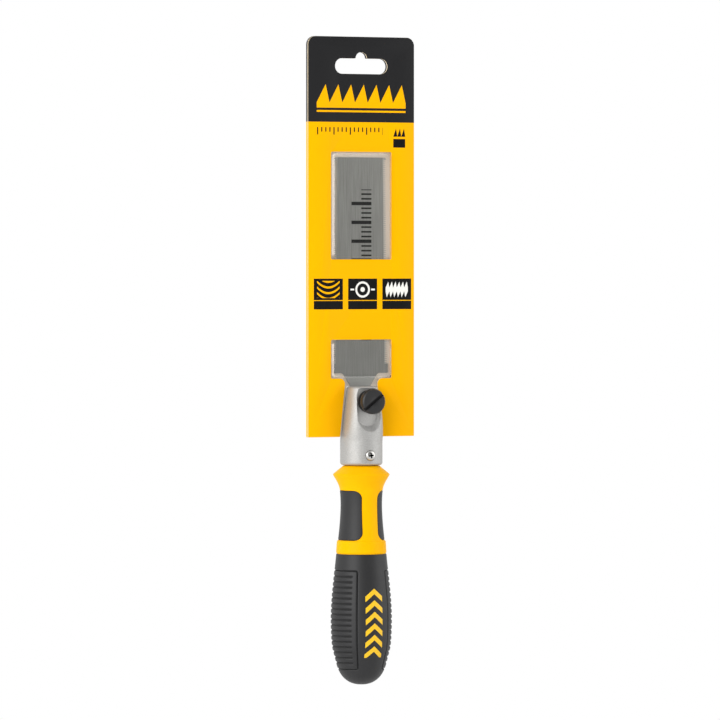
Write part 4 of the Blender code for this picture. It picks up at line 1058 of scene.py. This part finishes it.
# Clamp screw
# A turned steel screw in satin black: a wide slotted head for a coin or a driver, a hub that
# bears on the washer, and a threaded shank through the blade into the insert.
HEAD_BACK = -12.2
HEAD_LENGTH = 3.8
HEAD_RADIUS = 6.75
HUB_RADIUS = 4.2
HUB_LENGTH = 3.0
SHANK_END = -18.95
SLOT_WIDTH = 1.75
SLOT_DEPTH = 1.6
SLOT_ANGLE = 38.4
CLAMP_THREAD = {"Turns": 13.0, "Thread radius": 2.3, "Thread length": 13.0, "Ridge": 0.3}


def driver_slot(x, y, z):
    """The floor and walls of the slot across the head, where shade is painted into the colour."""
    lean = math.radians(SLOT_ANGLE)
    across = (z - CLAMP_Z) * math.cos(lean) - x * math.sin(lean)
    front = HEAD_BACK - HEAD_LENGTH
    return (abs(across) < SLOT_WIDTH / 2 + 0.02) * y.between(front + 0.12, front + SLOT_DEPTH + 0.1)


def make_clamp_screw():
    shank = CLAMP_THREAD["Thread radius"]
    head = curve_through([(5.85, HEAD_LENGTH), (6.0, HEAD_LENGTH - 0.03), (6.2, HEAD_LENGTH - 0.2),
                          (6.62, HEAD_LENGTH - 0.75), (HEAD_RADIUS, HEAD_LENGTH - 1.2)], 3)
    screw = turn("screw_body", [
        (0.0, HEAD_LENGTH), (3.0, HEAD_LENGTH), *head, (HEAD_RADIUS, 0.45), (HEAD_RADIUS - 0.1, 0.15),
        (HEAD_RADIUS - 0.35, 0.0), (HUB_RADIUS, 0.0), (HUB_RADIUS, 0.2 - HUB_LENGTH),
        (HUB_RADIUS - 0.2, -HUB_LENGTH), (shank, -HUB_LENGTH), (shank, SHANK_END + 0.5),
        (shank - 0.5, SHANK_END), (0.0, SHANK_END)], 128)
    slot = block("driver_slot", (-FAR, -SLOT_WIDTH / 2, HEAD_LENGTH - SLOT_DEPTH),
                 (FAR, SLOT_WIDTH / 2, FAR))
    slot.data.transform(Matrix.Rotation(math.radians(SLOT_ANGLE), 4, "Z"))
    cut(screw, slot)
    soft = screw.modifiers.new("edges", "BEVEL")
    soft.width = 0.13
    soft.segments = 2
    soft.limit_method = "ANGLE"
    soft.angle_limit = math.radians(55)
    return settle(screw)


# The slot gets painted shade: its colour goes near black.
slotted_black = turned_steel("slotted_black", (0.012, 0.012, 0.0125), 0.36, 0.0, 0.02, driver_slot)
screw = make_clamp_screw()
screw.data.transform(Matrix.Translation((0.0, 0.0, HUB_LENGTH)))
grow(screw, "clamp_thread", CLAMP_THREAD, slotted_black, screw_thread)
face_front(screw, HEAD_BACK + HUB_LENGTH, CLAMP_Z)
stand_in(smooth(screw, 30), "clamp_screw", "black_screw", slotted_black, "clamp_screw")


# Back board
# White-lined board, die cut like the front one and glued to it round the rim, printed outside
# and bare inside. A shallow channel leaves room for the blade and the blister's flange.
CARD_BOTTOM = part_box("card_front")[0][2] / MM
CARD_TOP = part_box("card_front")[1][2] / MM
CARD_HALF_WIDTH = 31.25
CARD_CORNER = 4.4
WINDOW_HALF_WIDTH = 17.75
LOWER_WINDOW = (127.3, 147.8)
UPPER_WINDOW = (190.4, 247.33)
SLOT_Z = 292.73
SLOT_HALF_WIDTH = 15.4
SLOT_HALF_HEIGHT = 4.1
BUMP_HALF_WIDTH = 3.3
BUMP_HEIGHT = 3.3
RIM_WIDTH = 3.5
SHEET_BACK = 0.95
SHEET_BOTTOM = 124.4
SHEET_TOP = 261.83
CARD_YELLOW = (1.0, 0.475, 0.0)
INK_HEADER = (0.021, 0.021, 0.022)
HEADER_BOTTOM = 263.1
PRINT_HALF_WIDTH = 26.2
WINDOW_CORNER = 0.7
BACK_BOARD = (0.70, 2.45)


def both_sides(right):
    return right + [(-x, *rest) for x, *rest in reversed(right)]


def card_edge(notch):
    return rounded(both_sides([(CARD_HALF_WIDTH, CARD_TOP, CARD_CORNER),
                               (CARD_HALF_WIDTH, CARD_BOTTOM, 0.4)] + notch), 10)


def hang_slot():
    top = SLOT_Z + SLOT_HALF_HEIGHT
    bottom = SLOT_Z - SLOT_HALF_HEIGHT
    end = SLOT_HALF_HEIGHT * 0.99
    return rounded(both_sides([(BUMP_HALF_WIDTH, top + BUMP_HEIGHT, BUMP_HALF_WIDTH * 0.95),
                               (BUMP_HALF_WIDTH, top, 0.5), (SLOT_HALF_WIDTH, top, end),
                               (SLOT_HALF_WIDTH, bottom, end)]), 10)


def box_mask(x, z, left, right, bottom, top):
    return x.between(left, right) * z.between(bottom, top)


def saw_teeth(x, z, pitch, bottom, top, lean=0.7):
    """A row of leaning teeth that stand on a line."""
    share = (x % pitch) / pitch
    height = (share / lean) & ((1 - share) / (1 - lean))
    return (z > bottom) * (z < height * (top - bottom) + bottom)


def header_print(x, z):
    """Seven saw teeth on a bar, and a line below them."""
    teeth = saw_teeth(x + PRINT_HALF_WIDTH, z, PRINT_HALF_WIDTH * 2 / 7, 273.4, 283.0)
    lines = z.between(270.6, 273.5) | z.between(268.3, 269.3)
    return (teeth | lines) * x.between(-PRINT_HALF_WIDTH, PRINT_HALF_WIDTH)


def lined_board():
    """Bare inside, and printed on the back and the cut edges in the colours of the front."""
    board = Material("plain_board")
    x, y, z = board.axes()
    fibres = board.noise(2.2, 5.0, 0.65, (1.0, 1.0, 0.25))
    flecks = board.noise(1.1, 4.0, 0.7).ramp(0.62, 0.72)
    bare = board.mix(fibres, (0.80, 0.715, 0.625), (0.90, 0.81, 0.72))
    bare = board.mix(flecks * 0.25, bare, (0.5, 0.43, 0.37))
    header = z > HEADER_BOTTOM
    teeth = header_print(x * -1.0, z)
    ink = board.mix(teeth, board.mix(header, CARD_YELLOW, INK_HEADER), CARD_YELLOW)
    outer, inner = (box_mask(x, z, inset - PRINT_HALF_WIDTH, PRINT_HALF_WIDTH - inset, 128.0 + inset,
                             256.0 - inset) for inset in (0.0, 0.8))
    panel = outer * (1 - inner)
    ink = board.mix(panel, ink, INK_HEADER)
    inside = (board.facing(1) < -0.5) | (y < 0.6)
    rough = 0.4 + inside * 0.35 + fibres * 0.12
    return board.finish(base_color=board.mix(inside, ink, bare), roughness=rough, specular_ior_level=0.15,
                        normal=board.bump(fibres, 0.03, 0.5))


back_notch = [(11.4, CARD_BOTTOM, 0.4), (9.85, 108.85, 0),
              (7.75, NECK_TOP + 0.05, NECK_EDGE)]
card_back = plate("back_board", [card_edge(back_notch), hang_slot()], *BACK_BOARD, 0.08)
flange_room = block("flange_room", (-CARD_HALF_WIDTH + RIM_WIDTH, -FAR, SHEET_BOTTOM - FIT),
                    (CARD_HALF_WIDTH - RIM_WIDTH, SHEET_BACK + FIT, SHEET_TOP + FIT))
blade_room = block("blade_room", (-WINDOW_HALF_WIDTH - 0.5, -FAR, 0.0),
                   (WINDOW_HALF_WIDTH + 0.5, BLADE_BACK + FIT, UPPER_WINDOW[1] + 0.5))
cut(card_back, flange_room, blade_room)
stand_in(smooth(card_back, 30), "hang_card", "plain_board", lined_board(), "card_back")


# Blister
# One clear sheet, heated and drawn into a low dome through each window. Its flange is trapped
# between the boards, and the drawn edges are thinner and catch the light.
SHEET_THICKNESS = 0.25
DOME_FACE = -1.5
DOME_CORNER = 2.6
LOWER_SLOPE = 0.7
UPPER_SLOPE = 1.2
SHEET_CELL = 1.0
WALL_CELL = 0.14


def inside_window(x, z, window):
    """Distance in from the edge of a rounded window, below 0 outside it."""
    half_width = WINDOW_HALF_WIDTH - FIT
    half_height = (window[1] - window[0]) / 2 - FIT
    out_x = abs(x) - half_width + DOME_CORNER
    out_z = abs(z - (window[0] + window[1]) / 2) - half_height + DOME_CORNER
    outside = math.hypot(max(out_x, 0.0), max(out_z, 0.0))
    return DOME_CORNER - outside - min(max(out_x, out_z), 0.0)


def finer_at(low, high, edges):
    """Places from low to high, a cell apart, and a wall's cell apart within reach of each edge."""
    places = [low]
    while places[-1] < high - WALL_CELL:
        near = any(abs(places[-1] + WALL_CELL - edge) < DOME_CORNER + FIT for edge in edges)
        places.append(min(places[-1] + (WALL_CELL if near else SHEET_CELL), high))
    return places


def dome_lift(x, z):
    """How far the sheet is drawn forward at a place, from 0 to 1."""
    lift = 0.0
    for window, slope in ((LOWER_WINDOW, LOWER_SLOPE), (UPPER_WINDOW, UPPER_SLOPE)):
        share = min(max(inside_window(x, z, window) / slope, 0.0), 1.0)
        lift = max(lift, math.sin(math.pi / 2 * share) ** 1.3)
    return lift


def make_blister():
    half_width = CARD_HALF_WIDTH - RIM_WIDTH - FIT
    front = SHEET_BACK - SHEET_THICKNESS
    inner = WINDOW_HALF_WIDTH - DOME_CORNER
    columns = finer_at(-half_width, half_width, (-inner, inner))
    rows = finer_at(SHEET_BOTTOM, SHEET_TOP, (
        LOWER_WINDOW[0] + DOME_CORNER, LOWER_WINDOW[1] - DOME_CORNER,
        UPPER_WINDOW[0] + DOME_CORNER, UPPER_WINDOW[1] - DOME_CORNER))
    work = bmesh.new()
    grid = [[work.verts.new((x, front + (DOME_FACE - front) * dome_lift(x, z), z)) for x in columns]
            for z in rows]
    skin(work, grid, closed=False)
    bmesh.ops.recalc_face_normals(work, faces=work.faces)
    if sum(face.normal.y for face in work.faces) > 0:
        bmesh.ops.reverse_faces(work, faces=work.faces)
    mesh = bpy.data.meshes.new("blister_sheet")
    work.to_mesh(mesh)
    work.free()
    sheet = add_object("blister_sheet", mesh)
    wall = sheet.modifiers.new("wall", "SOLIDIFY")
    wall.thickness = SHEET_THICKNESS
    wall.offset = -1.0
    return settle(sheet)


def clear_plastic():
    """Clear through its face, with a little gloss, and hazy on the walls, where it was drawn thin.
    The walls at the card's band stay clear, because the sheet was hardly drawn there."""
    sheet = Material("clear_sheet")
    ripple = sheet.bump(sheet.noise(0.07, 2.0), 0.12, 0.4)
    edge_on = sheet.node("ShaderNodeFresnel", sockets={"IOR": 1.45, "Normal": ripple})
    wall = abs(sheet.facing(1)).ramp(0.3, 0.96, 1.0, 0.0)
    at_band = sheet.axes()[2].between(LOWER_WINDOW[1] - 3.0, UPPER_WINDOW[0] + 3.0)
    clear_wall = at_band * abs(sheet.facing(2)).ramp(0.2, 0.6)
    wall = wall * (1 - clear_wall)
    gloss = (edge_on * (0.25 - clear_wall * 0.2) + wall * 0.2) & 0.4
    sheet.finish(base_color=(0.95, 0.95, 0.94), metallic=1 - wall, roughness=0.06 + wall * 0.2,
                 specular_ior_level=0.5, normal=ripple)
    clear = sheet.node("ShaderNodeBsdfTransparent", sockets={"Color": (0.985, 0.985, 0.98, 1.0)})
    return sheet.mix_surface(gloss, clear, sheet.shaded)


blister = smooth(make_blister(), 40)
stand_in(blister, "hang_card", "clear_sheet", clear_plastic(), "blister")


# Printed board
# White-cored board, printed yellow and charcoal and varnished, die cut with a hang slot, two
# windows and a bay for the neck. The print is plain: a row of saw teeth and three picture tiles.
INK_BLACK = (0.010, 0.010, 0.010)
TILE_CENTRES = (-19.4, 0.8, 21.0)
TILE_HALF_WIDTH = 8.55
TILE_TOP = 180.2
TILE_BOTTOM = 163.9
TILE_LINE = 168.6
TILE_MIDDLE = 174.4
FRONT_THICKNESS = 0.4


def rule_print(x, z):
    """A plain ruler under the header, and a small toothed plate at its right."""
    along = x + 26.0
    ticks = (abs(along % 2.4 - 0.35) < 0.35) * z.between(257.9, 260.3)
    long_ticks = (abs(along % 9.6 - 0.35) < 0.35) * z.between(256.4, 260.3)
    toothed = saw_teeth(x - 18.9, z, 7.1 / 3, 255.6, 260.0) | z.between(249.8, 254.4)
    return (ticks | long_ticks) * x.between(-26.0, 12.6) | toothed * x.between(18.9, 26.0)


def tile_prints(x, z):
    """The motifs on the three tiles: bent strokes, a ring, and teeth."""
    half = 6.6
    across = x - TILE_CENTRES[0]
    strokes = abs((z - TILE_MIDDLE + 0.4 - across ** 2.0 * 0.07) % 3.0 - 1.5) < 0.55
    first = strokes * across.between(-half, half) * z.between(TILE_LINE + 1.3, TILE_TOP - 1.2)
    across = x - TILE_CENTRES[1]
    rise = z - TILE_MIDDLE
    from_centre = (across ** 2.0 + rise ** 2.0) ** 0.5
    second = from_centre.between(3.2, 4.3) | (from_centre < 1.3) | (
        (abs(rise) < 0.45) * (abs(across).between(5.0, 7.2)))
    across = x - TILE_CENTRES[2]
    rows = (saw_teeth(across + half, rise, 2.2, 1.0, 4.2)
            | saw_teeth(half - across, rise * -1.0, 2.2, 1.0, 4.2))
    third = (rows | (abs(rise) < 1.1)) * across.between(-half, half)
    return second | third, first


def printed_board():
    board = Material("printed_board")
    x, _, z = board.axes()
    fibres = board.noise(1.8, 4.0, 0.6)
    front = board.facing(1) < -0.5
    header = z > HEADER_BOTTOM
    black = rule_print(x, z)
    for centre in TILE_CENTRES:
        tile = box_mask(x - centre, z, -TILE_HALF_WIDTH, TILE_HALF_WIDTH, TILE_BOTTOM, TILE_TOP)
        black = black | (tile * (abs(z - TILE_LINE) > 0.22))
    white, yellow = tile_prints(x, z)
    light = white | yellow
    colour = board.mix(header, CARD_YELLOW, INK_HEADER)
    colour = board.mix(black, colour, INK_BLACK)
    colour = board.mix(header_print(x, z), colour, CARD_YELLOW)
    colour = board.mix(yellow, board.mix(white, colour, (0.86, 0.85, 0.80)), CARD_YELLOW)
    tone = board.mix(front, (0.80, 0.66, 0.42), colour)
    ink = front * ((header * (1 - header_print(x, z))) | (black * (1 - light)))
    roughness = 0.34 + fibres * 0.08 - ink * 0.05
    return board.finish(base_color=tone, roughness=roughness, specular_ior_level=0.04,
                        normal=board.bump(fibres, 0.012, 0.35))


bay = [(12.5, CARD_BOTTOM, 0.4), (9.2, LOWER_WINDOW[0], 3.0),
       (WINDOW_HALF_WIDTH, LOWER_WINDOW[0], WINDOW_CORNER),
       (WINDOW_HALF_WIDTH, LOWER_WINDOW[1], WINDOW_CORNER)]
upper_window = rounded(both_sides([(WINDOW_HALF_WIDTH, UPPER_WINDOW[1], WINDOW_CORNER),
                                   (WINDOW_HALF_WIDTH, UPPER_WINDOW[0], WINDOW_CORNER)]))
card_front = plate("front_board", [card_edge(bay), hang_slot(), upper_window], 0.0, FRONT_THICKNESS, 0.05)
stand_in(card_front, "hang_card", "printed_board", printed_board(), "card_front")
